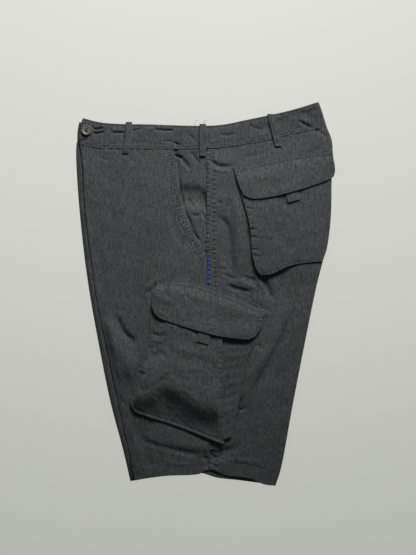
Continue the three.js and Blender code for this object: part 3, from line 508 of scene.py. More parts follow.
def joined(first, second, share):
    """Two lines end to end, joined at the given share"""
    def both(t):
        t = np.asarray(t, float)[..., None]
        start = first(np.clip(t[..., 0] / share, 0, 1))
        return np.where(t < share, start, second(np.clip((t[..., 0] - share) / (1 - share), 0, 1)))
    return both


def stretch(line, x0, x1, shift=0):
    """A stretch of a line between two widths"""
    def part(t):
        x = mix(x0, x1, np.asarray(t, float))
        return np.stack([x, line.y_at(x) + shift], -1)
    return part


def straight(a, b):
    """The straight line from a to b"""
    a, b = np.asarray(a, float), np.asarray(b, float)
    return lambda t: a + (b - a) * np.asarray(t, float)[..., None]


def patch(left, right, top, bottom):
    """Area inside four lines: the two blends between opposite lines, less the blend of the corners"""
    a, b, c, d = left(0.0), right(0.0), left(1.0), right(1.0)

    def place(u, v):
        s, t = u[..., None], v[..., None]
        rows = top(u) * (1 - t) + bottom(u) * t
        columns = left(v) * (1 - s) + right(v) * s
        corners = a * (1 - s) * (1 - t) + b * s * (1 - t) + c * (1 - s) * t + d * s * t
        return rows + columns - corners
    return place


def strip(left, right):
    """Area between two sides, with straight ends"""
    return patch(left, right, straight(left(0.0), right(0.0)), straight(left(1.0), right(1.0)))


def nearest(points, x, y):
    """Distance from each place to a broken line, positive on the left of its direction, and the length run
    along the line to there"""
    best = np.full(x.shape, np.inf)
    side_at = np.ones(x.shape)
    run_at = np.zeros(x.shape)
    run = 0.0
    for (ax, ay), (bx, by) in zip(points[:-1], points[1:]):
        long = math.hypot(bx - ax, by - ay) or 1e-6
        t = np.clip(((x - ax) * (bx - ax) + (y - ay) * (by - ay)) / long ** 2, 0, 1)
        far = np.hypot(x - ax - t * (bx - ax), y - ay - t * (by - ay))
        closer = far < best
        best = np.where(closer, far, best)
        side_at = np.where(closer, np.sign((bx - ax) * (y - ay) - (by - ay) * (x - ax)), side_at)
        run_at = np.where(closer, run + t * long, run_at)
        run += long
    return best * side_at, run_at


def near_line(line, x, y, reach):
    """Which places lie in a line's box, widened by a reach"""
    low, high = line.min(0) - reach, line.max(0) + reach
    return (x > low[0]) & (x < high[0]) & (y > low[1]) & (y < high[1])


def along_lines(rows, x, y, steps, reach, fade, profile):
    """Rises along the lines of a table: a profile across each, which fades at both ends. A row is the
    line's points, the sizes that its profile takes, and its rise."""
    total = np.zeros(x.shape)
    for points, *sizes, rise in rows:
        line = Line(points)(np.linspace(0, 1, steps + 1))
        near = near_line(line, x, y, reach * sizes[0])
        if not near.any():
            continue
        far, run = nearest(line, x[near], y[near])
        share = run / length_run(line)[-1]
        ends = smooth(0, fade, share) * smooth(1, 1 - fade, share)
        total[near] += rise * profile(far, *sizes) * ends
    return total


def creases(rows, x, y, steps=24):
    """Rise of a table of creases: rise times (1 - (distance / half width)^2)^2, faded at both ends"""
    def profile(far, half):
        return np.clip(1 - (far / half) ** 2, 0, 1) ** 2
    return along_lines(rows, x, y, steps, 1, 0.25, profile)


def fine_creases(rows, x, y):
    """The finer creases, as deep as the pressed cloth shows them"""
    return CREASE_GAIN * creases(rows, x, y, 12)


def leaning_folds(rows, x, y):
    """Folds that lean over: a crest along each line, whose rise fades by a bell curve, broad on the left of
    the line's direction and steep on its right. A row is its points, broad reach, steep reach and rise."""
    def profile(far, broad, steep):
        return np.exp(-(far / np.where(far > 0, broad, steep)) ** 2)
    return along_lines(rows, x, y, 16, 2, 0.2, profile)


def seam_relief(rows, x, y):
    """Rows of stitching: a narrow groove along each, and puckers across it whose height is a sum of three
    sines of the length run, fading with the square of the distance. A row is its points, the groove's
    depth, the puckers' height, their spacing and their reach."""
    total = np.zeros(x.shape)
    for points, depth, high, spacing, reach in rows:
        near = near_line(points, x, y, 2.5 * reach)
        if not near.any():
            continue
        far, run = nearest(points, x[near], y[near])
        # Each row's puckers start at a phase of their own, taken from where the row starts
        phase = points[0].sum() * 0.37
        wave = sum(size * np.sin(2 * np.pi * run / (pitch * spacing) + turn * phase)
                   for size, pitch, turn in PUCKER_WAVES)
        total[near] += high * wave * np.exp(-(far / reach) ** 2) - depth * np.exp(-(far / GROOVE) ** 2)
    return total


def ripples(x, y, seed, size, high, count=16):
    """Loose undulation: a sum of plane waves of random direction and phase, near one size"""
    draw = np.random.default_rng(seed)
    total = np.zeros(np.shape(x))
    for _ in range(count):
        angle, phase = draw.uniform(0, 2 * np.pi, 2)
        wave = size * draw.uniform(0.6, 1.9)
        total += np.sin(2 * np.pi * (x * math.cos(angle) + y * math.sin(angle)) / wave + phase)
    return total * high / math.sqrt(count)


def cloth_relief(creased, stitched, rippled, x, y):
    """Fine relief of a piece: its creases, its rows of stitching and its ripples"""
    relief = fine_creases(creased, x, y) + seam_relief(stitched, x, y)
    return relief + sum(ripples(x, y, *waves) for waves in rippled)


def directions(points):
    """Unit direction of travel at each point of a line"""
    way = np.gradient(points, axis=0)
    return way / np.linalg.norm(way, axis=1)[:, None]


def leftward(way):
    """Directions turned a quarter circle to the left"""
    return np.stack([-way[:, 1], way[:, 0]], -1)


def offset_row(line, distance, start=0.0, end=1.0, steps=60):
    """Points of a row that runs beside a line, on the left of its direction where distance is positive"""
    here = line(np.linspace(start, end, steps))
    return here + distance * leftward(directions(here))


def inside(piece, x, y):
    """How far inside a piece's four outlines a place is, as a share of its size (negative outside)"""
    left, right = piece["left"].x_at(y), piece["right"].x_at(y)
    top, bottom = piece["top"].y_at(x), piece["bottom"].y_at(x)
    across = (x - left) / (right - left)
    down = (top - y) / (top - bottom)
    return across, down, np.minimum(np.minimum(across, 1 - across), np.minimum(down, 1 - down))


def shares(piece, x, y):
    """Shares across and down a piece, held between 0 and 1"""
    across, down, _ = inside(piece, x, y)
    return np.clip(across, 0, 1), np.clip(down, 0, 1)


def held_down(relief, covers, x, y):
    """Relief whose rises fade where a cover lies on the cloth"""
    share = np.zeros(np.shape(x))
    for cover in covers:
        share = np.maximum(share, smooth(-0.04, 0.0, inside(cover, x, y)[2]))
    return np.where(relief > 0, relief * (1 - share), relief)


def across_leg(x, y):
    """The top leg's front and back edges at a height, and the share of the way from one to the other"""
    front, back = FRONT_EDGE.x_at(y), BACK_EDGE.x_at(y)
    return front, back, np.clip((x - front) / (back - front), 0, 1)


def bed(x, y):
    """Height of the top leg's face without its folds: the edge height, a crown across, the falls to the
    waist and the hem, and the swells"""
    _, _, across = across_leg(x, y)
    seam, hem = WAIST_SEAM.y_at(x), HEM.y_at(x)
    height = EDGE_TOP + CROWN * (1 - (2 * across - 1) ** 4)
    height = height - WAIST_FALL * smooth(seam - WAIST_FADE, seam + BAND_HEIGHT, y)
    height = height - HEM_FALL * smooth(hem + HEM_FADE, hem, y)
    for sx, sy, reach_x, reach_y, high in SWELLS:
        q = ((x - sx) / reach_x) ** 2 + ((y - sy) / reach_y) ** 2
        height = height + high * np.clip(1 - q, 0, 1) ** 2
    return height


def top(x, y):
    """Height of the top leg's face as the solids have it"""
    x, y = np.broadcast_arrays(np.asarray(x, float), np.asarray(y, float))
    return bed(x, y) + creases(PANEL_FOLDS, x, y)


def lowest(x, y):
    """Lowest height of the face around a place"""
    reach = range(-16, 17, 4)
    around = [top(x + dx, y + dy) for dx in reach for dy in reach]
    return np.min(around, axis=0)


def seams(rows, depth, high, spacing, reach):
    """The same groove and puckers for several rows"""
    return [(row, depth, high, spacing, reach) for row in rows]


# Rows of stitching on the panels: along the slash pocket's opening, the side seam, the hems and the waist
OPENING_ROWS = [offset_row(OPENING, -d, 0.02, 0.96) for d in (2.5, 7, 12.5)]
SIDE_ROW = offset_row(SIDE_SEAM, 11.5, 0.02, 0.99)
SIDE_EDGE_ROW = offset_row(SIDE_SEAM, 1.6)
HEM_DEEP, WAIST_SEWN = 22, -3.5
FRONT_HEM_ROW = offset_row(stretch(HEM, -114, 5), HEM_DEEP)
BACK_HEM_ROW = offset_row(stretch(HEM, 6.5, 114), HEM_DEEP)
FRONT_WAIST_ROW = offset_row(stretch(WAIST_SEAM, -200, -52), WAIST_SEWN)
BACK_WAIST_ROW = offset_row(stretch(WAIST_SEAM, 6, 196), WAIST_SEWN)
FRONT_SEAMS = seams(OPENING_ROWS, 0.6, 0.28, 5.6, 3.2) + [
    (FRONT_HEM_ROW, 0.4, 0.25, 9, 6), (FRONT_WAIST_ROW, 0.1, 0.3, 8, 4)]
BACK_SEAMS = [(SIDE_ROW, 0.6, 0.42, 7.5, 3.6), (SIDE_EDGE_ROW, 0.2, 0.42, 7.5, 4.2),
              (BACK_HEM_ROW, 0.4, 0.25, 9, 6), (BACK_WAIST_ROW, 0.1, 0.3, 8, 4)]


def front_face(x, y):
    """Outer face of the front panel"""
    lean = leaning_folds(FRONT_LEANS, x, y) - LEAN_TAKES * creases(FRONT_TAKEN, x, y)
    lean = lean * smooth(1, 15, x - FRONT_EDGE.x_at(y))
    fine = cloth_relief(FRONT_CREASES, FRONT_SEAMS, FRONT_RIPPLES, x, y) + lean
    return top(x, y) + held_down(fine, (CARGO_POCKET, CARGO_FLAP), x, y)


def back_face(x, y):
    """Outer face of the back panel"""
    lean = leaning_folds(BACK_LEANS, x, y) - LEAN_TAKES * creases(BACK_TAKEN, x, y)
    fine = cloth_relief(BACK_CREASES, BACK_SEAMS, BACK_RIPPLES, x, y) + lean
    covers = (CARGO_POCKET, CARGO_FLAP, BACK_POCKET, BACK_FLAP, CARGO_GUSSET)
    return top(x, y) + held_down(fine, covers, x, y)


def stations(length, pitch, thick, sewn=(0, 0)):
    """Shares across a piece: a few close to each edge for its rounding, close ones over a sewn margin at
    its start or its end, and even ones between"""
    near = np.array([0, 0.12, 0.42, 1.0]) * thick / 2
    low, high = near[-1], length - near[-1]
    marks = [low, max(low, sewn[0]), min(high, length - sewn[1]), high]
    spans = zip(marks[:-1], marks[1:], (MARGIN_PITCH, pitch, MARGIN_PITCH))
    middle = [np.linspace(a, b, max(1, round((b - a) / step)), endpoint=False)
              for a, b, step in spans if b - a > 1e-6]
    return np.concatenate([near[:-1], *middle, (length - near)[::-1]]) / length


def rounding(inner, thick):
    """How far a face comes in near an edge, by its distance to it: a quarter circle of half the thickness"""
    radius = thick / 2
    q = np.clip(1 - inner / radius, 0, 1)
    return EDGE_ROUND * radius * (1 - np.sqrt(1 - q * q))


def grid_quads(grid, turned=False):
    """Quads between the neighbours in a grid of point numbers"""
    a, b, c, d = grid[:-1, :-1], grid[1:, :-1], grid[1:, 1:], grid[:-1, 1:]
    return np.stack([a, d, c, b] if turned else [a, b, c, d], -1).reshape(-1, 4)


def ring_quads(rings, sides):
    """Quads round a stack of rings of the same number of points"""
    index = np.arange(rings * sides).reshape(rings, sides)
    after = np.roll(index, -1, axis=1)
    return np.stack([index[:-1], index[1:], after[1:], after[:-1]], -1).reshape(-1, 4)


def thread_faces(rings):
    """Faces of a closed thread: the quads round it, and two at each end"""
    cap = np.array([[0, 1, 2, 3], [0, 3, 4, 5]])
    return np.vstack([ring_quads(rings, SIDES), cap, cap[:, ::-1] + (rings - 1) * SIDES])


def wall_faces(rows, columns):
    """Quads of a closed wall between an outer and an inner grid of the same size"""
    under = rows * columns
    grid = np.arange(under).reshape(rows, columns)
    faces = [grid_quads(grid), grid_quads(grid, True) + under]
    for side, turned in ((grid[:, 0], True), (grid[:, -1], False), (grid[0], False), (grid[-1], True)):
        a, b = side[:-1], side[1:]
        order = [a, a + under, b + under, b] if turned else [a, b, b + under, a + under]
        faces.append(np.stack(order, -1))
    return np.vstack(faces)


def make_piece(name, points, faces, material, slot="cloth", uv=None, nodes=()):
    """Puts points in millimetres and faces into a new object, which rides on the body"""
    mesh = bpy.data.meshes.new(name)
    mesh.from_pydata((np.asarray(points) * MM).tolist(), [], [list(face) for face in faces])
    mesh.polygons.foreach_set("use_smooth", np.ones(len(mesh.polygons), bool))
    if uv is not None:
        corners = np.empty(len(mesh.loops), np.int32)
        mesh.loops.foreach_get("vertex_index", corners)
        layer = mesh.uv_layers.new(name="cloth")
        layer.uv.foreach_set("vector", (np.asarray(uv) * MM)[corners].astype(np.float32).ravel())
    mesh.materials.append(material)
    mesh.validate()
    mesh.update()
    piece = bpy.data.objects.new(name, mesh)
    bpy.context.scene.collection.objects.link(piece)
    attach(piece, BODY)
    if nodes:
        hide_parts(*nodes)
    return piece


def grain_uv(flat, angle):
    """Place on the cut cloth: the flat place turned by the grain's angle in degrees"""
    a = math.radians(angle)
    x, y = flat[..., 0].ravel(), flat[..., 1].ravel()
    return np.stack([x * math.cos(a) + y * math.sin(a), y * math.cos(a) - x * math.sin(a)], -1)


def make_wall(name, outer, inner, places, grain, material, node):
    """A closed wall between two grids of points, with its map on the cloth, which stands for a node"""
    uv = grain_uv(places, grain)
    points = np.vstack([outer.reshape(-1, 3), inner.reshape(-1, 3)])
    return make_piece(name, points, wall_faces(*outer.shape[:2]), material, uv=np.vstack([uv, uv]),
                      nodes=(node,))


def laid_piece(name, area, face, thick, pitch, material, grain, node):
    """Flat-lying piece: the area's points at the height of its face and one thickness below, with
    rounded edges. face takes x, y, u and v."""
    start, half, end = (np.array(share) for share in (0.0, 0.5, 1.0))
    width = float(np.linalg.norm(area(end, half) - area(start, half)))
    length = float(np.linalg.norm(area(half, end) - area(half, start)))
    u, v = np.meshgrid(stations(width, pitch, thick), stations(length, pitch, thick))
    flat = area(u, v)
    height = face(flat[..., 0], flat[..., 1], u, v)
    drop = rounding(np.minimum(np.minimum(u, 1 - u) * width, np.minimum(v, 1 - v) * length), thick)
    outer, inner = np.dstack([flat, height - drop]), np.dstack([flat, height - thick + drop])
    return make_wall(name, outer, inner, flat, grain, material, node)


def turned_panel(name, area, folded_at_left, face, material, grain, node):
    """Leg panel: flat over the stack, and turned through half a circle round the folded edge"""
    v = stations(PANEL_LENGTH, ROW_PITCH, CLOTH)
    width = np.linalg.norm(area(np.ones(len(v)), v) - area(np.zeros(len(v)), v), axis=1)
    angle = np.pi * (1 - np.linspace(0, 1, ROLL_STEPS + 1))
    even = stations(width.mean(), PANEL_PITCH, CLOTH, (0, SEWN_MARGIN))[4:]
    at = (lambda s: s) if folded_at_left else (lambda s: 1 - s)
    base = area(at(ROLL / width), v)
    base_high = face(base[:, 0], base[:, 1])[:, None]
    width = width[:, None]
    share = mix(ROLL / width, 1.0, even[None, :])
    flat = area(at(share), np.repeat(v[:, None], len(even), 1))
    high = face(flat[..., 0], flat[..., 1])
    from_cut = np.minimum((1 - share) * width, np.minimum(v, 1 - v)[:, None] * PANEL_LENGTH)

    def placed(inward):
        """Places at distances in from the folded edge"""
        return area(at(inward[None, :] / width), np.repeat(v[:, None], len(inward), 1))

    def grid(thin):
        """Points of the outer face, or of the inner one, one thickness in"""
        read = ROLL - thin
        inward = np.concatenate([[ROLL + RETURN], ROLL - read * np.sin(angle)])
        down = np.concatenate([[ROLL + read], ROLL - read * np.cos(angle)])
        drop = rounding(from_cut, CLOTH) * (-1 if thin else 1)
        return np.concatenate([np.dstack([placed(inward), base_high - down[None, :]]),
                               np.dstack([flat, high - thin - drop])], axis=1)

    unrolled = ROLL - ROLL * angle
    places = np.concatenate([placed(np.concatenate([[unrolled[0] - RETURN], unrolled])), flat], axis=1)
    order = slice(None, None, 1 if folded_at_left else -1)
    outer, inner, places = (q[:, order] for q in (grid(0.0), grid(CLOTH), places))
    return make_wall(name, outer, inner, places, grain, material, node)


def facing_well(x, y):
    """How far the stack is lowered under the facing"""
    left, right = OPENING_X - 2 * FACING_UNDER, SIDE_X + 2 * FACING_TUCK
    low = OPENING_LOW - FACING_UNDER
    across = smooth(left - WELL_SLOPE, left, x) * smooth(right + WELL_SLOPE, right, x)
    return FACING_WELL * across * smooth(low - WELL_SLOPE, low, y)


LAYER_AREA = patch(UNDER_FRONT, BACK_EDGE, UNDER_WAIST, UNDER_HEM)
LAYER_LENGTH = np.linalg.norm(UNDER_FRONT(1.0) - UNDER_FRONT(0.0))


def layer_place(row, s, t):
    """Places on one ring of the hidden layers: the outline drawn in by a row's insets"""
    start = LAYER_AREA(np.zeros_like(t), t)
    width = np.linalg.norm(LAYER_AREA(np.ones_like(t), t) - start, axis=-1)
    room = (FRONT_EDGE.x_at(start[..., 1]) - start[..., 0]) / FRONT_ROOM
    front = row[0] * np.where(row[0] < ROOM_LIMIT, room, 1)
    u = mix(front / width, 1 - row[2] / width, s)
    v = mix(row[6] / LAYER_LENGTH, 1 - row[4] / LAYER_LENGTH, t)
    return LAYER_AREA(u, v)


def layer_top(x, y):
    """Top of the hidden layers, below the panels and the slash pocket's facing"""
    return lowest(x, y) - SEWN - facing_well(x, y)


def layer_height(row, s, t, x, y):
    """Height of one ring of the hidden layers, where a row's four heights meet by blends at the corners"""
    share = np.clip(1 - np.stack([s, 1 - s, t, 1 - t]) / CORNER_BLEND, 0, 1)
    flush = FRONT_FLUSH * max(row[1] - 1, 0) * (row[0] < FRONT_ROOM)
    flush = flush * smooth(-170, -90, y) * smooth(150, 60, y)
    high = (np.array([row[1], row[3], row[7], row[5]])[:, None] * share).sum(0) + flush * share[0]
    high = high / share.sum(0)
    front, back, across = across_leg(x, y)
    full = layer_top(x, y)
    meet = mix(top(front, y), top(back, y), across) - 2 * ROLL - SEAM
    meet = np.minimum(meet, full - SEAM)
    return np.where(high <= 1, high * meet, mix(meet, full, high - 1))


def folded_layers(material):
    """Hidden layers as one rounded solid: a stack of rings, each the outline drawn in by its own inset and
    held at its own height, closed by a face on top and a flat one on the surface"""
    edge = np.array(LAYER_EDGE, float)
    level = np.linspace(0, len(edge) - 1, LAYER_RINGS)
    edge = np.stack([np.interp(level, np.arange(len(edge)), column) for column in edge.T], -1)
    s, t = np.linspace(0, 1, LAYER_COLUMNS + 1), np.linspace(0, 1, LAYER_ROWS + 1)
    down, up = t[:-1], 1 - t[:-1]
    ring_s = np.concatenate([0 * down, s[:-1], 0 * up + 1, 1 - s[:-1]])
    ring_t = np.concatenate([down, 0 * s[:-1] + 1, up, 0 * s[:-1]])
    walls = []
    for row in edge:
        flat = layer_place(row, ring_s, ring_t)
        walls.append(np.column_stack([flat, layer_height(row, ring_s, ring_t, *flat.T)]))
    walls[-1][:, 2] = 0
    grid_s, grid_t = (q.ravel() for q in np.meshgrid(s[1:-1], t[1:-1]))
    cap, base = (layer_place(row, grid_s, grid_t) for row in (edge[0], edge[-1]))
    cap = np.column_stack([cap, layer_top(*cap.T) - CREASE_ROOM])
    base = np.column_stack([base, np.zeros(len(base))])
    points = np.vstack([*walls, cap, base])

    count = len(ring_s)
    rim = LAYER_RINGS * count
    faces = [ring_quads(LAYER_RINGS, count)]
    numbers = np.full((LAYER_ROWS + 1, LAYER_COLUMNS + 1), -1)
    ring_row, ring_column = (np.rint(q).astype(int) for q in (ring_t * LAYER_ROWS, ring_s * LAYER_COLUMNS))
    numbers[ring_row, ring_column] = np.arange(count)
    for start, first, turned in ((0, rim, False), (rim - count, rim + len(cap), True)):
        full = numbers + start
        full[1:-1, 1:-1] = first + np.arange(len(cap)).reshape(LAYER_ROWS - 1, LAYER_COLUMNS - 1)
        faces.append(grid_quads(full, turned))
    uv = grain_uv(points[:, None, :2], 8) + points[:, 2:3] * np.array([[1.0, 0.3]])
    return make_piece("hidden_layers", points, np.vstack(faces), material, uv=uv, nodes=("folded_layers",))


BAND_AREA = patch(BAND_FRONT_END, BAND_BACK_END, WAIST_TOP, stretch(WAIST_SEAM, -205.6, 199.3))
BAND_LOW_ROW = offset_row(stretch(WAIST_SEAM, -203, 196), 3)
BAND_HIGH_ROW = offset_row(WAIST_TOP, -3.5, 0.01, 0.99)
BAND_MID_ROW = offset_row(stretch(WAIST_SEAM, -180, 196), 8)
BAND_SEAMS = [(BAND_LOW_ROW, 0.55, 0.26, 6, 3.6), (BAND_MID_ROW, 0.4, 0.2, 7, 4),
              (BAND_HIGH_ROW, 0.55, 0.24, 7, 4)]


def band_stand(x, y):
    """How far the waistband's top edge stands up, over its height"""
    up = smooth(0, BAND_HEIGHT, y - WAIST_SEAM.y_at(x))
    return up * (BAND_STAND * smooth(-165, -130, x) + BACK_STAND * smooth(70, 165, x))


def band_face(x, y):
    """Outer face of the left half of the waistband, whose creases are deeper than the panels'"""
    fine = cloth_relief([], BAND_SEAMS, BAND_RIPPLES, x, y) + BAND_GAIN * fine_creases(BAND_CREASES, x, y)
    return top(x, y) + BAND_PROUD + band_stand(x, y) + fine


def waistband_left(material):
    """Left half of the waistband: laid over the stack, and folded round at centre back by half a circle"""
    u, v = stations(BAND_LENGTH, BAND_PITCH, BAND), stations(BAND_HEIGHT, FINE_PITCH, BAND)
    back = BAND_AREA(np.ones(len(v)), v)
    width = np.linalg.norm(back - BAND_AREA(np.zeros(len(v)), v), axis=1)
    radius = (top(back[:, 0], back[:, 1]) + BAND_PROUD - SEAM) / 2
    flat_end = 1 - radius / width
    start = BAND_AREA(flat_end, v)
    start_high = band_face(start[:, 0], start[:, 1])
    width, radius, flat_end, start_high = (q[:, None] for q in (width, radius, flat_end, start_high))
    angle = np.pi * np.linspace(0, 1, 15)[None, 1:]
    turn_v = np.repeat(v[:, None], angle.shape[1], 1)
    flat_u = u[None, :] * flat_end
    flat = BAND_AREA(flat_u, np.repeat(v[:, None], len(u), 1))
    high = band_face(flat[..., 0], flat[..., 1])
    ends = np.minimum(v, 1 - v)[:, None] * BAND_HEIGHT

    def grid(thin):
        """Points of the outer face, or of the inner one, one thickness in"""
        side = -1 if thin else 1
        drop = rounding(np.minimum(ends, flat_u * width), BAND)
        read = radius - thin - side * rounding(ends, BAND)
        turned = BAND_AREA(1 - (radius - read * np.sin(angle)) / width, turn_v)
        return np.concatenate([np.dstack([flat, high - thin - side * drop]),
                               np.dstack([turned, start_high - radius + read * np.cos(angle)])], axis=1)

    places = np.concatenate([flat, BAND_AREA(flat_end + radius * angle / width, turn_v)], axis=1)
    return make_wall("waistband_outer", grid(0.0), grid(BAND), places, 2, material, "waistband_left")


def back_lift(x, y):
    """How far the back pocket's face stands off the panel: more along its left side and its bottom"""
    across, down = shares(BACK_POCKET, x, y)
    side = BACK_SIDE * smooth(0.85, 0, across) * mix(BACK_TOP_SHARE, 1, smooth(0, 0.6, down))
    return SEWN + side + BACK_LOW * smooth(0.55, 1, down) * smooth(1, 0.3, across)


def cargo_lift(x, y):
    """How far the cargo pocket's face stands off the panel: its belly, its bellows side and its bottom"""
    across, down = shares(CARGO_POCKET, x, y)
    belly = CARGO_BELLY * smooth(0, 0.3, across) * smooth(0, 0.25, down) * smooth(0.97, 0.7, down)
    side, low = CARGO_SIDE * smooth(0.55, 1, across), CARGO_LOW * smooth(0.75, 1, down)
    lift = np.minimum(CARGO_MOST, belly + side + low)
    return SEWN + np.maximum(0, lift + creases(CARGO_FOLDS, x, y))


def carried(x, y):
    """Height of the panel that carries the back pocket, kept level past the turn of its fold"""
    return top(np.minimum(x, BACK_EDGE.x_at(y) - ROLL), y)


def over_tab(x, middle, down):
    """Extra rise of a flap over its tab, towards the flap's free edge"""
    return TAB_RISE * smooth(TAB_FADE, TAB_HALF, np.abs(x - middle)) * smooth(0.6, 0.9, down)


def tab_face(lift):
    """Face of a pull tab that lies on a pocket's lift, with a curl at its free end"""
    return lambda x, y, u, v: top(x, y) + lift(x, y) + SEAM + STRAP + TAB_CURL * v ** 2


def edge_rows(piece, *rows):
    """Rows of stitching beside a piece's outlines: the side, the distance, and the start and end if they
    aren't near the side's own"""
    return [offset_row(piece[side], distance, *(ends or (0.02, 0.98))) for side, distance, *ends in rows]


BACK_FLAP_ROWS = edge_rows(BACK_FLAP, ("top", -2.5), ("top", -9.5), ("left", 3), ("bottom", 3, 0.0, 0.99))
BACK_POCKET_ROWS = edge_rows(BACK_POCKET, ("left", 2.5), ("bottom", 2.5))
CARGO_FLAP_ROWS = edge_rows(CARGO_FLAP, ("top", -2.5), ("top", -9.5), ("left", 3), ("bottom", 3, 0.0, 1.0),
                            ("right", -3))
CARGO_POCKET_ROWS = edge_rows(CARGO_POCKET, ("left", 2.5), ("bottom", 5.5), ("right", -2.5, 0.1, 0.98))
BACK_POCKET_SEAMS = seams(BACK_POCKET_ROWS, 0.5, 0.24, 7, 4)
BACK_FLAP_SEAMS = seams(BACK_FLAP_ROWS, 0.55, 0.3, 5.2, 3.4)
CARGO_FLAP_SEAMS = seams(CARGO_FLAP_ROWS, 0.55, 0.32, 5.4, 3.6)

# The cargo pocket's lower edge is rolled into a rim, so its last row is raised
CARGO_SEAMS = (seams(CARGO_POCKET_ROWS, 0.5, 0.26, 8, 5)
               + seams(edge_rows(CARGO_POCKET, ("bottom", 1.7)), -0.9, 0.12, 12, 4))


def back_pocket_face(x, y, *_):
    """Outer face of the back pocket"""
    fine = cloth_relief(BACK_POCKET_CREASES, BACK_POCKET_SEAMS, BACK_POCKET_RIPPLES, x, y)
    fine = held_down(fine, (BACK_FLAP,), x, y)
    return carried(x, y) + np.maximum(SEWN, back_lift(x, y) + fine)


def back_flap_face(x, y, u, v):
    """Outer face of the back flap: on the panel along its seam, and over the pocket below it"""
    rise = smooth(0.08, 0.5, v) * (back_lift(x, y) + SEAM)
    fine = cloth_relief(BACK_FLAP_CREASES, BACK_FLAP_SEAMS, BACK_FLAP_RIPPLES, x, y)
    base = carried(x, y) + FLAP + SEAM + rise + over_tab(x, BACK_TAB_X, v)
    return base + np.maximum(fine, -FLAP_SINK - BACK_FLAP_MORE * smooth(0.7, 0.2, v))


def cargo_pocket_face(x, y, *_):
    """Outer face of the cargo pocket. One broad fold over its belly takes the place of the solid's two narrow
    ones, and its lower edge is rolled up into a rim."""
    across, down, _ = inside(CARGO_POCKET, x, y)
    belly = leaning_folds(CARGO_LEANS, x, y) - creases(CARGO_TAKEN, x, y)
    fine = (cloth_relief(CARGO_CREASES, CARGO_SEAMS, CARGO_RIPPLES, x, y)
            + belly * smooth(0, 0.07, np.minimum(across, 1 - across))
            - CARGO_THIN * smooth(0.86, 1, down) * smooth(0.95, 0.55, across))
    fine = held_down(fine, (CARGO_FLAP,), x, y)
    return top(x, y) + np.maximum(SEWN, cargo_lift(x, y) + fine)


def cargo_flap_face(x, y, u, v):
    """Outer face of the cargo flap: on the panel along its seam, and level over the pocket below it"""
    lift = np.maximum(cargo_lift(x, y) + SEAM, FLAP_LEVEL)
    rise = smooth(0.02, 0.31, v) * lift * mix(1, 0.75, smooth(0.72, 1, u))
    fine = cloth_relief(CARGO_FLAP_CREASES, CARGO_FLAP_SEAMS, CARGO_FLAP_RIPPLES, x, y)
    base = top(x, y) + FLAP + SEAM + rise + over_tab(x, CARGO_TAB_X, v)
    return base + np.maximum(fine, -FLAP_SINK - CARGO_FLAP_MORE * smooth(0.7, 0.2, v))


def gusset_face(x, y, u, v):
    """Outer face of the cargo pocket's bellows, with soft puckers that die out at its sides"""
    pucker = sum(high * np.sin(2 * np.pi * count * v + lean * u) for high, count, lean in GUSSET_PUCKERS)
    low_end = GUSSET_LOW_RISE * smooth(0.6, 0.8, v)
    rim = GUSSET_RIM * np.exp(-((1 - u) / GUSSET_RIM_WIDE) ** 2) * smooth(0.3, 0.6, v)
    stand = GUSSET_LOOSE + GUSSET_RISE * (1 - u) * smooth(0, 0.3, v) + low_end + rim
    puckers = pucker * np.sin(np.pi * u) ** 2
    return top(x, y) + SEWN + stand * smooth(1, GUSSET_CLOSE, v) + puckers * smooth(1, 0.9, v)


def back_gusset(material):
    """Folded strip that closes the back pocket along its left side and its bottom: a wall carried along
    the outline, bulging by a half sine between the panel and the pocket's face"""
    inset, corner, steps, rows, bulge = 3, 0.6, 150, 6, 1.1
    side, base = moved(BACK_POCKET["left"], inset), moved(BACK_POCKET["bottom"], 0, inset)
    t = np.linspace(0, 1, steps + 1)
    path = np.where((t < corner)[:, None], side(mix(0.05, 0.93, np.clip(t / corner, 0, 1))),
                    base(mix(0.12, 0.62, np.clip((t - corner) / (1 - corner), 0, 1))))
    weights = np.array([1, 2, 3, 2, 1]) / 9
    path = np.stack([np.convolve(np.pad(c, 2, mode="edge"), weights, "valid") for c in path.T], -1)
    inward = leftward(directions(path))
    v = np.linspace(0, 1, rows + 1)[:, None, None]

    def grid(thin):
        """Points of the outer face, or of the inner one, one thickness in"""
        flat = path[None] + inward[None] * (thin - bulge * np.sin(np.pi * v))
        x, y = flat[..., 0], flat[..., 1]
        low = top(x, y) + 2 * SEAM
        high = np.maximum(top(x, y) + back_lift(x, y) - CLOTH - 2 * SEAM, low + 0.4)
        return np.dstack([flat, mix(high, low, v[..., 0])])

    outer = grid(0.0)
    return make_wall("back_pocket_gusset", outer, grid(CLOTH), outer[..., :2], -12, material, "back_gusset")


def belt_loop(name, rows, material):
    """Belt loop: a strap over the waistband, arched so that a belt can pass"""
    middle = Line(rows)
    area = strip(moved(middle, -LOOP_WIDTH / 2), moved(middle, LOOP_WIDTH / 2))

    def face(x, y, u, v):
        """The panels and the waistband below it, then its arch and its ridge"""
        seam = WAIST_SEAM.y_at(x)
        proud = BAND_PROUD * smooth(seam - LOOP_PAST, seam - 1, y)
        arch = LOOP_ARCH * smooth(0.05, 0.3, v) * smooth(0.95, 0.7, v)
        ridge = LOOP_RIDGE * np.sin(np.pi * u) ** 2
        return top(x, y) + proud + band_stand(x, y) + SEAM + STRAP + LOOP_REST + arch + ridge

    return laid_piece(name + "_strap", area, face, STRAP, FINE_PITCH, material, 0, name)


def facing_face(x, y, u, v):
    """Outer face of the slash pocket's facing, which rises to the level of the panels at the waist seam"""
    fine = cloth_relief(FACING_CREASES, [], FACING_RIPPLES, x, y)
    level = FACING_LEVEL * smooth(212, 234, y) * smooth(-49, -45, x) * smooth(1, -3, x)
    return top(x, y) - SEWN + level + np.minimum(fine, 0.0)


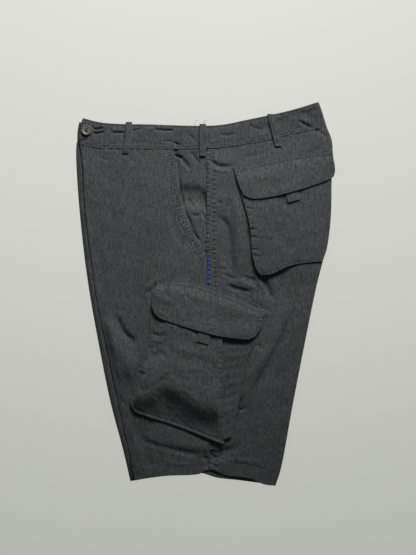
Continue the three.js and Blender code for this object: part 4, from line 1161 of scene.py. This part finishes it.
def linear(code):
    """An sRGB hex colour as linear values"""
    channels = np.array([int(code[i:i + 2], 16) for i in (1, 3, 5)]) / 255
    return tuple(np.where(channels <= 0.04045, channels / 12.92, ((channels + 0.055) / 1.055) ** 2.4))


def rgba(colour):
    """A colour with full alpha"""
    return (*colour[:3], 1.0)


def add_node(tree, kind, inputs=None, **settings):
    """Adds a node, sets what it is given, and links each input that is given as another node's socket"""
    made = tree.nodes.new(kind)
    for key, value in settings.items():
        setattr(made, key, value)
    for key, value in (inputs or {}).items():
        if isinstance(value, bpy.types.NodeSocket):
            tree.links.new(value, made.inputs[key])
        else:
            made.inputs[key].default_value = value
    return made


def new_material(name):
    """An empty node material and its tree"""
    material = bpy.data.materials.new(name)
    material.use_nodes = True
    material.node_tree.nodes.clear()
    return material, material.node_tree


def finish_material(tree, shader):
    """Links the shader to the material's output"""
    add_node(tree, "ShaderNodeOutputMaterial", {"Surface": shader.outputs["BSDF"]})


def melange_twill(name, shade=1.0):
    """Melange twill of cotton and polyester, yarn dyed and woven, unbrushed: fine uneven streaks of lighter
    and darker yarn along the warp and more faintly along the weft, some cool and some warm, a matt face with
    a faint lift at glancing angles. The yarns are 0.3 mm apart, too fine to show, so the streaks are drawn
    1 mm wide."""
    colours = bpy.context.scene.shorts_colours
    material, tree = new_material(name)
    place = add_node(tree, "ShaderNodeUVMap", uv_map="cloth").outputs["UV"]

    def streaks(wide, long, detail, seed):
        """Noise drawn out into streaks of a width across the cloth and a length along it, in millimetres"""
        scaled = add_node(tree, "ShaderNodeMapping", {
            "Vector": place, "Location": (seed, seed, 0), "Scale": (1 / (wide * MM), 1 / (long * MM), 1)})
        return add_node(tree, "ShaderNodeTexNoise", {
            "Vector": scaled.outputs["Vector"], "Scale": 1.0, "Detail": detail, "Roughness": 0.6},
            noise_dimensions="2D").outputs["Fac"]

    yarn = streaks(1.0, 6.5, 3, 3.1)
    slub = streaks(1.7, 26, 2, 7.7)
    weft = streaks(6.0, 1.1, 2, 17.3)
    tint = streaks(2.4, 9, 2, 12.3)
    cloud = streaks(70, 110, 2, 21.9)
    together = add_node(tree, "ShaderNodeMath", {0: yarn, 1: 0.5}, operation="MULTIPLY").outputs[0]
    for strand, weight in ((slub, 0.25), (weft, 0.25)):
        together = add_node(tree, "ShaderNodeMath", {0: strand, 1: weight, 2: together},
                            operation="MULTIPLY_ADD").outputs[0]
    spread = add_node(tree, "ShaderNodeMapRange", {
        "Value": together, "From Min": 0.36, "From Max": 0.64, "To Min": 0.0, "To Max": 1.0})
    # A shade below 1 darkens both yarns: painted shade, used for the pieces that lie under others
    dark, light = (np.array(c[:3]) * shade for c in (colours.yarn_dark, colours.yarn_light))
    body = add_node(tree, "ShaderNodeMix", {
        "Factor": spread.outputs["Result"], "A": rgba(dark), "B": rgba(light)}, data_type="RGBA")
    tinted = add_node(tree, "ShaderNodeValToRGB", {"Fac": tint})
    ramp = tinted.color_ramp
    ramp.elements[0].position, ramp.elements[1].position = 0.36, 0.64
    ramp.elements[0].color = rgba(linear("#F0F3FF"))
    ramp.elements[1].color = rgba(linear("#FFFAF0"))
    toned = add_node(tree, "ShaderNodeMix", {
        "Factor": 1.0, "A": body.outputs[2], "B": tinted.outputs["Color"]},
        data_type="RGBA", blend_type="MULTIPLY")
    worn = add_node(tree, "ShaderNodeMapRange", {
        "Value": cloud, "From Min": 0.3, "From Max": 0.7, "To Min": 0.93, "To Max": 1.07})
    final = add_node(tree, "ShaderNodeVectorMath", {
        0: toned.outputs[2], "Scale": worn.outputs["Result"]}, operation="SCALE")
    crinkle = streaks(9, 13, 3, 33.3)
    relief = add_node(tree, "ShaderNodeBump", {"Strength": 0.45, "Distance": 0.0006, "Height": crinkle})
    relief = add_node(tree, "ShaderNodeBump", {
        "Strength": 0.5, "Distance": 0.00025, "Height": yarn, "Normal": relief.outputs["Normal"]})
    shader = add_node(tree, "ShaderNodeBsdfPrincipled", {
        "Base Color": final.outputs[0], "Roughness": 0.88, "Specular IOR Level": 0.22,
        "Sheen Weight": 0.12, "Sheen Roughness": 0.5, "Normal": relief.outputs["Normal"]})
    finish_material(tree, shader)
    return material


def spun_thread(name, colour, rough=0.7):
    """Spun polyester sewing thread: a fine twist across each stitch and a soft gloss. The twist is drawn
    0.5 mm apart, about twice the real one, so that it shows in a close view."""
    material, tree = new_material(name)
    place = add_node(tree, "ShaderNodeTexCoord").outputs["Object"]
    twist = add_node(tree, "ShaderNodeTexWave", {
        "Vector": place, "Scale": 1 / (0.5 * MM) / 6.28, "Distortion": 1.5, "Detail": 1.0},
        wave_type="BANDS", bands_direction="DIAGONAL")
    shade = add_node(tree, "ShaderNodeMix", {
        "Factor": twist.outputs["Fac"], "A": rgba(np.array(colour[:3]) * 0.75),
        "B": rgba(np.minimum(np.array(colour[:3]) * 1.15, 1))}, data_type="RGBA")
    bump = add_node(tree, "ShaderNodeBump", {
        "Strength": 0.4, "Distance": 0.0001, "Height": twist.outputs["Fac"]})
    finish_material(tree, add_node(tree, "ShaderNodeBsdfPrincipled", {
        "Base Color": shade.outputs[2], "Roughness": rough, "Specular IOR Level": 0.35,
        "Normal": bump.outputs["Normal"]}))
    return material


def cast_horn_resin():
    """Polyester resin button, cast in a horn pattern, turned and tumbled: cloudy bands of pale and smoky
    grey-brown and a satin gloss"""
    material, tree = new_material("cast_horn_resin")
    colours = bpy.context.scene.shorts_colours
    place = add_node(tree, "ShaderNodeTexCoord").outputs["Object"]
    cloud = add_node(tree, "ShaderNodeTexNoise", {
        "Vector": place, "Scale": 1 / (4 * MM), "Detail": 4.0, "Distortion": 1.2})
    bands = add_node(tree, "ShaderNodeMapRange", {
        "Value": cloud.outputs["Fac"], "From Min": 0.35, "From Max": 0.65, "To Min": 0.0, "To Max": 1.0})
    mixed = add_node(tree, "ShaderNodeMix", {
        "Factor": bands.outputs["Result"], "A": rgba(colours.horn_dark), "B": rgba(colours.horn_light)},
        data_type="RGBA")
    scratch = add_node(tree, "ShaderNodeTexNoise", {"Vector": place, "Scale": 1 / (0.5 * MM), "Detail": 2.0})
    bump = add_node(tree, "ShaderNodeBump", {
        "Strength": 0.15, "Distance": 0.0001, "Height": scratch.outputs["Fac"]})
    finish_material(tree, add_node(tree, "ShaderNodeBsdfPrincipled", {
        "Base Color": mixed.outputs[2], "Roughness": 0.34, "Specular IOR Level": 0.5, "IOR": 1.54,
        "Normal": bump.outputs["Normal"]}))
    return material


def painted_board():
    """Board painted with matt emulsion by roller: a nearly even pale face with a faint stipple"""
    material, tree = new_material("matt_painted_board")
    place = add_node(tree, "ShaderNodeTexCoord").outputs["Object"]
    cloud = add_node(tree, "ShaderNodeTexNoise", {"Vector": place, "Scale": 3.0, "Detail": 2.0})
    floor = np.array(bpy.context.scene.shorts_colours.floor[:3])
    shade = add_node(tree, "ShaderNodeMix", {
        "Factor": cloud.outputs["Fac"], "A": rgba(floor * 0.985), "B": rgba(floor)}, data_type="RGBA")
    stipple = add_node(tree, "ShaderNodeTexNoise", {"Vector": place, "Scale": 1 / (2 * MM), "Detail": 2.0})
    bump = add_node(tree, "ShaderNodeBump", {
        "Strength": 0.1, "Distance": 0.0001, "Height": stipple.outputs["Fac"]})
    finish_material(tree, add_node(tree, "ShaderNodeBsdfPrincipled", {
        "Base Color": shade.outputs[2], "Roughness": 0.8, "Specular IOR Level": 0.2,
        "Normal": bump.outputs["Normal"]}))
    return material


def stitch_row(points, long, gap, thick, height, lean=0.0):
    """Stitches along a row: each is a ring profile swept along a short span, thin and sunk at both ends.
    Returns the points and faces of all of them at once. height takes x and y."""
    run = length_run(points)
    count = max(1, int(run[-1] / (long + gap)))
    centre = (np.arange(count) + 0.5) * run[-1] / count
    along = STITCH_ALONG[None, :] * long
    x, y = (np.interp(centre[:, None] + along, run, column) for column in points.T)
    way_x, way_y = x[:, -1:] - x[:, :1], y[:, -1:] - y[:, :1]
    size = np.hypot(way_x, way_y)
    way_x, way_y = way_x / size, way_y / size
    x, y = x - way_y * lean * along, y + way_x * lean * along
    z = height(x, y) + STITCH_RISE[None, :] * thick
    around = np.arange(SIDES) / SIDES * 2 * np.pi
    out = STITCH_SWELL[None, :, None] * np.cos(around)[None, None, :] * thick
    up = STITCH_SWELL[None, :, None] * np.sin(around)[None, None, :] * thick * STITCH_FLAT
    px = x[..., None] - way_y[..., None] * out
    py = y[..., None] + way_x[..., None] * out
    vertices = np.stack([px, py, z[..., None] + up], -1).reshape(-1, 3)
    rings = len(STITCH_ALONG)
    one = thread_faces(rings)[:, ::-1]
    every = one[None] + (np.arange(count) * rings * SIDES)[:, None, None]
    return vertices, every.reshape(-1, 4)


def joined_mesh(parts):
    """Several sets of points and faces as one set"""
    vertices, faces, start = [], [], 0
    for points, quads in parts:
        vertices.append(points)
        faces.append(quads + start)
        start += len(points)
    return np.vstack(vertices), np.vstack(faces)


def tube(points, radius):
    """A thin thread along a line of points in space: a ring square to the line at each point"""
    points = np.asarray(points, float)
    way = directions(points)
    across = np.cross(way, [0, 0, 1.0])
    across /= np.maximum(np.linalg.norm(across, axis=1), 1e-6)[:, None]
    up = np.cross(across, way)
    around = np.arange(SIDES) / SIDES * 2 * np.pi
    rings = (points[:, None] + radius * (across[:, None] * np.cos(around)[None, :, None]
             + up[:, None] * np.sin(around)[None, :, None]))
    return rings.reshape(-1, 3), thread_faces(len(points))


def bartack(a, b, wide, height, pitch=0.9, thick=0.42):
    """A bar of close stitches laid across the line from a to b"""
    a, b = np.asarray(a, float), np.asarray(b, float)
    long = np.linalg.norm(b - a)
    way = (b - a) / long
    side = np.array([-way[1], way[0]])
    parts = []
    for t in (np.arange(int(long / pitch)) + 0.5) * pitch:
        middle = a + way * t
        row = np.array([middle - side * wide / 2, middle + side * wide / 2])
        parts.append(stitch_row(row, wide * 0.98, 0.01, thick, height, lean=0.2))
    return joined_mesh(parts)


def flap_heights(piece, face):
    """Height of a flap's face by place, for its stitches: the shares come from its outlines"""
    return lambda x, y: face(x, y, *shares(piece, x, y))


back_flap_height = flap_heights(BACK_FLAP, back_flap_face)
cargo_flap_height = flap_heights(CARGO_FLAP, cargo_flap_face)


class ShortsSizes(bpy.types.PropertyGroup):
    """Sizes of the sewing that a user may change. Real topstitches are about 2.8 mm long in thread 0.35 mm
    thick, too fine to show, so they are drawn longer and about twice as thick."""
    stitch_length: bpy.props.FloatProperty(
        name="Stitch length", description="Length of one topstitch", default=0.0032, min=0.001, max=0.006,
        unit="LENGTH", precision=4)
    stitch_gap: bpy.props.FloatProperty(
        name="Stitch gap", description="Gap between two topstitches", default=0.0014, min=0.0002,
        max=0.003, unit="LENGTH", precision=4)
    thread_radius: bpy.props.FloatProperty(
        name="Thread radius", description="Half the thickness of the topstitching thread",
        default=0.00034, min=0.0001, max=0.001, unit="LENGTH", precision=5)
    floor_size: bpy.props.FloatProperty(
        name="Floor size", description="Length of each side of the floor", default=9.0, min=2.0,
        max=40.0, unit="LENGTH")


class ShortsColours(bpy.types.PropertyGroup):
    """Colours of the cloth, threads, button and floor"""
    yarn_dark: bpy.props.FloatVectorProperty(
        name="Dark yarn", description="Darker yarn of the melange cloth", subtype="COLOR", size=3,
        min=0.0, max=1.0, default=linear("#272A2B"))
    yarn_light: bpy.props.FloatVectorProperty(
        name="Light yarn", description="Lighter yarn of the melange cloth", subtype="COLOR", size=3,
        min=0.0, max=1.0, default=linear("#5F6262"))
    thread: bpy.props.FloatVectorProperty(
        name="Thread", description="Topstitching thread", subtype="COLOR", size=3, min=0.0, max=1.0,
        default=linear("#3E4243"))
    blue_thread: bpy.props.FloatVectorProperty(
        name="Blue thread", description="Thread of the bar tack on the side seam", subtype="COLOR",
        size=3, min=0.0, max=1.0, default=linear("#0640B4"))
    horn_light: bpy.props.FloatVectorProperty(
        name="Light horn", description="Pale bands of the button", subtype="COLOR", size=3, min=0.0,
        max=1.0, default=linear("#86837A"))
    horn_dark: bpy.props.FloatVectorProperty(
        name="Dark horn", description="Smoky bands of the button", subtype="COLOR", size=3, min=0.0,
        max=1.0, default=linear("#54524D"))
    floor: bpy.props.FloatVectorProperty(
        name="Floor", description="Painted surface under the shorts", subtype="COLOR", size=3, min=0.0,
        max=1.0, default=linear("#E9E9E4"))


def look(name, maker, *settings):
    """A material by name, made the first time it is asked for"""
    return bpy.data.materials.get(name) or maker(*settings)


def cloth():
    """Cloth of the pieces that show"""
    return look("melange_twill", melange_twill, "melange_twill")


def cloth_painted_shade():
    """The same cloth a little darker, as painted shade for the pieces that lie under others"""
    return look("melange_twill_under", melange_twill, "melange_twill_under", 0.92)


def thread():
    """Grey topstitching thread"""
    return look("spun_thread_grey", spun_thread, "spun_thread_grey", bpy.context.scene.shorts_colours.thread)


def thread_piece(name, parts):
    """Several stitches or threads as one piece"""
    return make_piece(name, *joined_mesh(parts), thread())


class SHORTS_OT_stage(bpy.types.Operator):
    """Makes the floor, the lights and the camera"""
    bl_idname = "shorts.stage"
    bl_label = "Stage"

    def execute(self, context):
        half, count = context.scene.shorts_sizes.floor_size / 2, 9
        grid = np.linspace(-half, half, count)
        x, y = np.meshgrid(grid, grid[::-1])
        points = np.stack([x, y, np.full_like(x, -FLOOR_DROP * MM)], -1).reshape(-1, 3)
        faces = grid_quads(np.arange(count * count).reshape(count, count))
        mesh = bpy.data.meshes.new("floor")
        mesh.from_pydata(points.tolist(), [], faces.tolist())
        mesh.materials.append(painted_board())
        floor = bpy.data.objects.new("floor", mesh)
        context.scene.collection.objects.link(floor)
        window = self.light("window", (0.27, 1.22, 0.68), (-0.1, 0.03, 0.0), 0.7, 0.4, 4.4, "#FFFFFF")
        window.data.spread = math.radians(72)
        window.light_linking.receiver_collection = self.linked("all_but_floor", floor, "EXCLUDE")
        wash = self.light("floor_wash", (0.0, 1.35, 2.1), (0.0, 0.0, 0.0), 1.6, 1.2, 55.5, "#FFFFFC")
        wash.light_linking.receiver_collection = self.linked("floor_alone", floor, "INCLUDE")
        wash.light_linking.blocker_collection = wash.light_linking.receiver_collection
        world = bpy.data.worlds.new("soft_room")
        world.use_nodes = True
        background = world.node_tree.nodes["Background"]
        background.inputs["Color"].default_value = rgba(linear("#E0F2F1"))
        background.inputs["Strength"].default_value = 0.08
        context.scene.world = world
        context.scene.view_settings.view_transform = "Standard"
        self.camera(context)
        return {"FINISHED"}

    def light(self, name, place, aim, wide, high, power, colour):
        """A soft rectangular light at a place, turned to its aim"""
        lamp = bpy.data.lights.new(name, "AREA")
        lamp.shape, lamp.size, lamp.size_y = "RECTANGLE", wide, high
        lamp.energy, lamp.color = power, linear(colour)
        thing = bpy.data.objects.new(name, lamp)
        thing.location = place
        thing.rotation_euler = (Vector(aim) - Vector(place)).to_track_quat("-Z", "Y").to_euler()
        bpy.context.scene.collection.objects.link(thing)
        return thing

    def linked(self, name, thing, state):
        """A set that keeps a light to one thing, or away from it, as the photographed surface shows no
        shadow beyond the dark line where the cloth meets it"""
        group = bpy.data.collections.new(name)
        group.objects.link(thing)
        group.collection_objects[0].light_linking.link_state = state
        return group

    def camera(self, context):
        """Straight above the shorts, up the picture being +Y. The field is 905 mm along the long side."""
        lens = bpy.data.cameras.new("camera")
        lens.lens, lens.sensor_width = 50.0, 36.0
        garment, field = 0.010, 0.905
        eye = bpy.data.objects.new("camera", lens)
        eye.location = (0.0045, 0.0275, garment + field * lens.lens / lens.sensor_width)
        context.scene.collection.objects.link(eye)
        context.scene.camera = eye


class SHORTS_OT_hidden_layers(bpy.types.Operator):
    """Makes the left leg's inner side and the right leg, which lie under"""
    bl_idname = "shorts.hidden_layers"
    bl_label = "Hidden layers"

    def execute(self, context):
        layers = folded_layers(cloth_painted_shade())
        return {"FINISHED"}


class SHORTS_OT_leg_panels(bpy.types.Operator):
    """Makes the front panel, the back panel and the slash pocket's facing"""
    bl_idname = "shorts.leg_panels"
    bl_label = "Leg panels"

    def execute(self, context):
        cut = moved(joined(OPENING, SIDE_LOW, 0.35), -SEAM)
        area = patch(FRONT_EDGE, cut, stretch(WAIST_SEAM, -205.4, OPENING_X - SEAM, -SEAM),
                     stretch(HEM, -115.5, 5.8 - SEAM))
        front = turned_panel("front_leg_panel", area, True, front_face, cloth(), -3, "front_panel")
        area = patch(moved(SIDE_SEAM, SEAM / 2), BACK_EDGE,
                     stretch(WAIST_SEAM, SIDE_X + SEAM / 2, 199, -SEAM),
                     stretch(HEM, 5.8 + SEAM / 2, 115))
        back = turned_panel("back_leg_panel", area, False, back_face, cloth(), 3, "back_panel")
        self.facing()
        return {"FINISHED"}

    def facing(self):
        """Facing under the front panel's cut edge and the back panel"""
        left = moved(OPENING, -FACING_UNDER, -FACING_BELOW)

        def right(t):
            """A straight side under the side seam, at the heights of the left one"""
            line = left(t)
            return np.stack([np.full(line.shape[:-1], SIDE_X + FACING_TUCK), line[..., 1]], -1)

        piece = laid_piece("slash_pocket_facing", strip(left, right), facing_face, CLOTH, FINE_PITCH, cloth(),
                           -2, "pocket_facing")


class SHORTS_OT_waistband(bpy.types.Operator):
    """Makes the left half of the waistband and the right half that lies under it"""
    bl_idname = "shorts.waistband"
    bl_label = "Waistband"

    def execute(self, context):
        left = waistband_left(cloth())
        bottom = stretch(UNDER_WAIST, -210, 193.5, -1.5)
        area = patch(UNDER_BAND_FRONT, UNDER_BAND_BACK, UNDER_BAND_TOP, bottom)

        def face(x, y, u, v):
            """Level, one thickness above the surface that it rests on"""
            return BAND + 0 * x

        right = laid_piece("waistband_under", area, face, BAND, UNDER_PITCH, cloth_painted_shade(), 2,
                           "waistband_right")
        return {"FINISHED"}


class SHORTS_OT_back_pocket(bpy.types.Operator):
    """Makes the back pocket, its gusset, flap and pull tab"""
    bl_idname = "shorts.back_pocket"
    bl_label = "Back pocket"

    def execute(self, context):
        pocket = laid_piece("back_pocket_bag", patch(**BACK_POCKET), back_pocket_face, CLOTH, POCKET_PITCH,
                            cloth(), -5, "back_pocket")
        gusset = back_gusset(cloth_painted_shade())
        flap = laid_piece("back_pocket_flap", patch(**BACK_FLAP), back_flap_face, FLAP, FINE_PITCH, cloth(),
                          -7, "back_flap")
        tab = laid_piece("back_pull_tab", strip(*BACK_TAB), tab_face(back_lift), STRAP, FINE_PITCH, cloth(),
                         -7, "back_tab")
        return {"FINISHED"}


class SHORTS_OT_cargo_pocket(bpy.types.Operator):
    """Makes the cargo pocket, its bellows, flap and pull tab"""
    bl_idname = "shorts.cargo_pocket"
    bl_label = "Cargo pocket"

    def execute(self, context):
        pocket = laid_piece("cargo_pocket_bag", patch(**CARGO_POCKET), cargo_pocket_face, CLOTH,
                            POCKET_PITCH, cloth(), 5, "cargo_pocket")
        bellows = strip(CARGO_GUSSET["left"], CARGO_GUSSET["right"])
        gusset = laid_piece("cargo_pocket_bellows", bellows, gusset_face, CLOTH, POCKET_PITCH, cloth(), 2,
                            "cargo_gusset")
        flap = laid_piece("cargo_pocket_flap", patch(**CARGO_FLAP), cargo_flap_face, FLAP, FINE_PITCH,
                          cloth(), 7, "cargo_flap")
        tab = laid_piece("cargo_pull_tab", strip(*CARGO_TAB), tab_face(cargo_lift), STRAP, FINE_PITCH,
                         cloth(), 7, "cargo_tab")
        return {"FINISHED"}


class SHORTS_OT_belt_loops(bpy.types.Operator):
    """Makes the three belt loops"""
    bl_idname = "shorts.belt_loops"
    bl_label = "Belt loops"

    def execute(self, context):
        for name, rows in LOOPS.items():
            loop = belt_loop(name, rows, cloth())
        return {"FINISHED"}


class SHORTS_OT_button(bpy.types.Operator):
    """Gives the waist button its cast resin, and makes its thread and the buttonhole's edging"""
    bl_idname = "shorts.button"
    bl_label = "Button"

    def execute(self, context):
        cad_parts["button"].data.materials.clear()
        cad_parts["button"].data.materials.append(cast_horn_resin())
        base = float(top(BUTTON_X, BUTTON_Y)) + BAND_PROUD + 2 * SEAM
        seat = base + BUTTON_THICK - BUTTON_DISH
        t = np.linspace(0, np.pi, 9)
        parts = []
        for side in (-1, 1):
            x = BUTTON_X - HOLE_OUT * np.cos(t)
            y = BUTTON_Y + side * HOLE_OUT + 0 * t
            z = seat - THREAD_SUNK + THREAD_ARCH * np.sin(t)
            for shift in (-THREAD_THICK, THREAD_THICK):
                parts.append(tube(np.stack([x, y + shift, z], -1), THREAD_THICK))
        thread_piece("button_thread", parts)
        self.buttonhole()
        return {"FINISHED"}

    def buttonhole(self):
        """Close stitches round the slit that the button came through"""
        outer = BUTTONHOLE(np.linspace(0, 1, 60))
        inner = offset_row(BUTTONHOLE, -1.2)
        thread_piece("buttonhole_edging", [stitch_row(np.array(ends), 1.4, 0.01, 0.24, band_face)
                                           for ends in zip(outer, inner)])


class SHORTS_OT_stitching(bpy.types.Operator):
    """Makes the topstitching, the bar tacks and the loose thread ends"""
    bl_idname = "shorts.stitching"
    bl_label = "Stitching"

    def execute(self, context):
        sizes = context.scene.shorts_sizes
        stitch = [size / MM for size in (sizes.stitch_length, sizes.stitch_gap, sizes.thread_radius)]

        def sew(name, *groups):
            """One piece from groups of rows, each with the face that its stitches lie on"""
            thread_piece(name, [stitch_row(row, *stitch, height) for rows, height in groups for row in rows])

        sew("stitches_panels", (OPENING_ROWS + [FRONT_HEM_ROW], front_face),
            ([SIDE_ROW, SIDE_EDGE_ROW, BACK_HEM_ROW], back_face))
        sew("stitches_waistband", ([BAND_LOW_ROW, BAND_MID_ROW, BAND_HIGH_ROW], band_face))
        sew("stitches_back_pocket", (BACK_FLAP_ROWS, back_flap_height), (BACK_POCKET_ROWS, back_pocket_face))
        sew("stitches_cargo_pocket", (CARGO_FLAP_ROWS, cargo_flap_height),
            (CARGO_POCKET_ROWS, cargo_pocket_face))
        self.tacks()
        self.blue_tack()
        self.loose_threads()
        return {"FINISHED"}

    def tacks(self):
        """Bar tacks across the slash pocket's lower end, over the cargo pocket's tab and on the waistband"""
        thread_piece("bar_tacks", [
            bartack((-1, 87), (16, 87), 2.2, back_face),
            bartack((-1, 74), (14, 74), 2.2, back_face),
            bartack((-8, -46.5), (17, -50), 2.0, cargo_flap_height),
            bartack((-57, 251), (-52, 252), 5, band_face),
        ])

    def blue_tack(self):
        """Bar of blue thread down the side seam"""
        blue = look("spun_thread_blue", spun_thread, "spun_thread_blue",
                    bpy.context.scene.shorts_colours.blue_thread, 0.5)

        def height(x, y):
            """The bar lies on the puckers of the seam"""
            return back_face(x, y) + 0.5

        make_piece("blue_tack", *bartack((5.2, 57), (4.4, 18), 2.6, height, 0.75, 0.5), blue)

    def loose_threads(self):
        """Two thread ends that stick out over the waistband"""
        high = float(top(-8, 274)) + BAND_PROUD + 0.6
        ends = [
            [(-4, 274, high), (-3, 279, high + 1), (0, 283, high + 1.4), (2.6, 281, high + 1)],
            [(-15, 273, high), (-17.5, 278, high + 0.8), (-15, 283, high + 1.2), (-10, 284, high + 0.8)],
        ]
        thread_piece("loose_threads", [tube(Line(rows)(np.linspace(0, 1, 14)), 0.22) for rows in ends])


class SHORTS_PT_panel(bpy.types.Panel):
    """Lists the operators that build the shorts"""
    bl_idname = "SHORTS_PT_panel"
    bl_label = "Folded cargo shorts"
    bl_space_type = "VIEW_3D"
    bl_region_type = "UI"
    bl_category = "Shorts"

    def draw(self, context):
        for operator in OPERATORS:
            self.layout.operator(operator.bl_idname)
        for group in (context.scene.shorts_sizes, context.scene.shorts_colours):
            for name in group.__annotations__:
                self.layout.prop(group, name)


OPERATORS = (SHORTS_OT_stage, SHORTS_OT_hidden_layers, SHORTS_OT_leg_panels, SHORTS_OT_waistband,
             SHORTS_OT_back_pocket, SHORTS_OT_cargo_pocket, SHORTS_OT_belt_loops, SHORTS_OT_button,
             SHORTS_OT_stitching)
CLASSES = (ShortsSizes, ShortsColours, *OPERATORS, SHORTS_PT_panel)


def register():
    """Adds the classes and the two groups of settings to Blender"""
    for each in CLASSES:
        bpy.utils.register_class(each)
    bpy.types.Scene.shorts_sizes = bpy.props.PointerProperty(type=ShortsSizes)
    bpy.types.Scene.shorts_colours = bpy.props.PointerProperty(type=ShortsColours)


def unregister():
    """Takes them out again, in the reverse order"""
    del bpy.types.Scene.shorts_colours
    del bpy.types.Scene.shorts_sizes
    for each in reversed(CLASSES):
        bpy.utils.unregister_class(each)


def main():
    """Builds everything in order"""
    register()
    for operator in OPERATORS:
        group, name = operator.bl_idname.split(".")
        getattr(getattr(bpy.ops, group), name)()


if __name__ == "__main__":
    main()
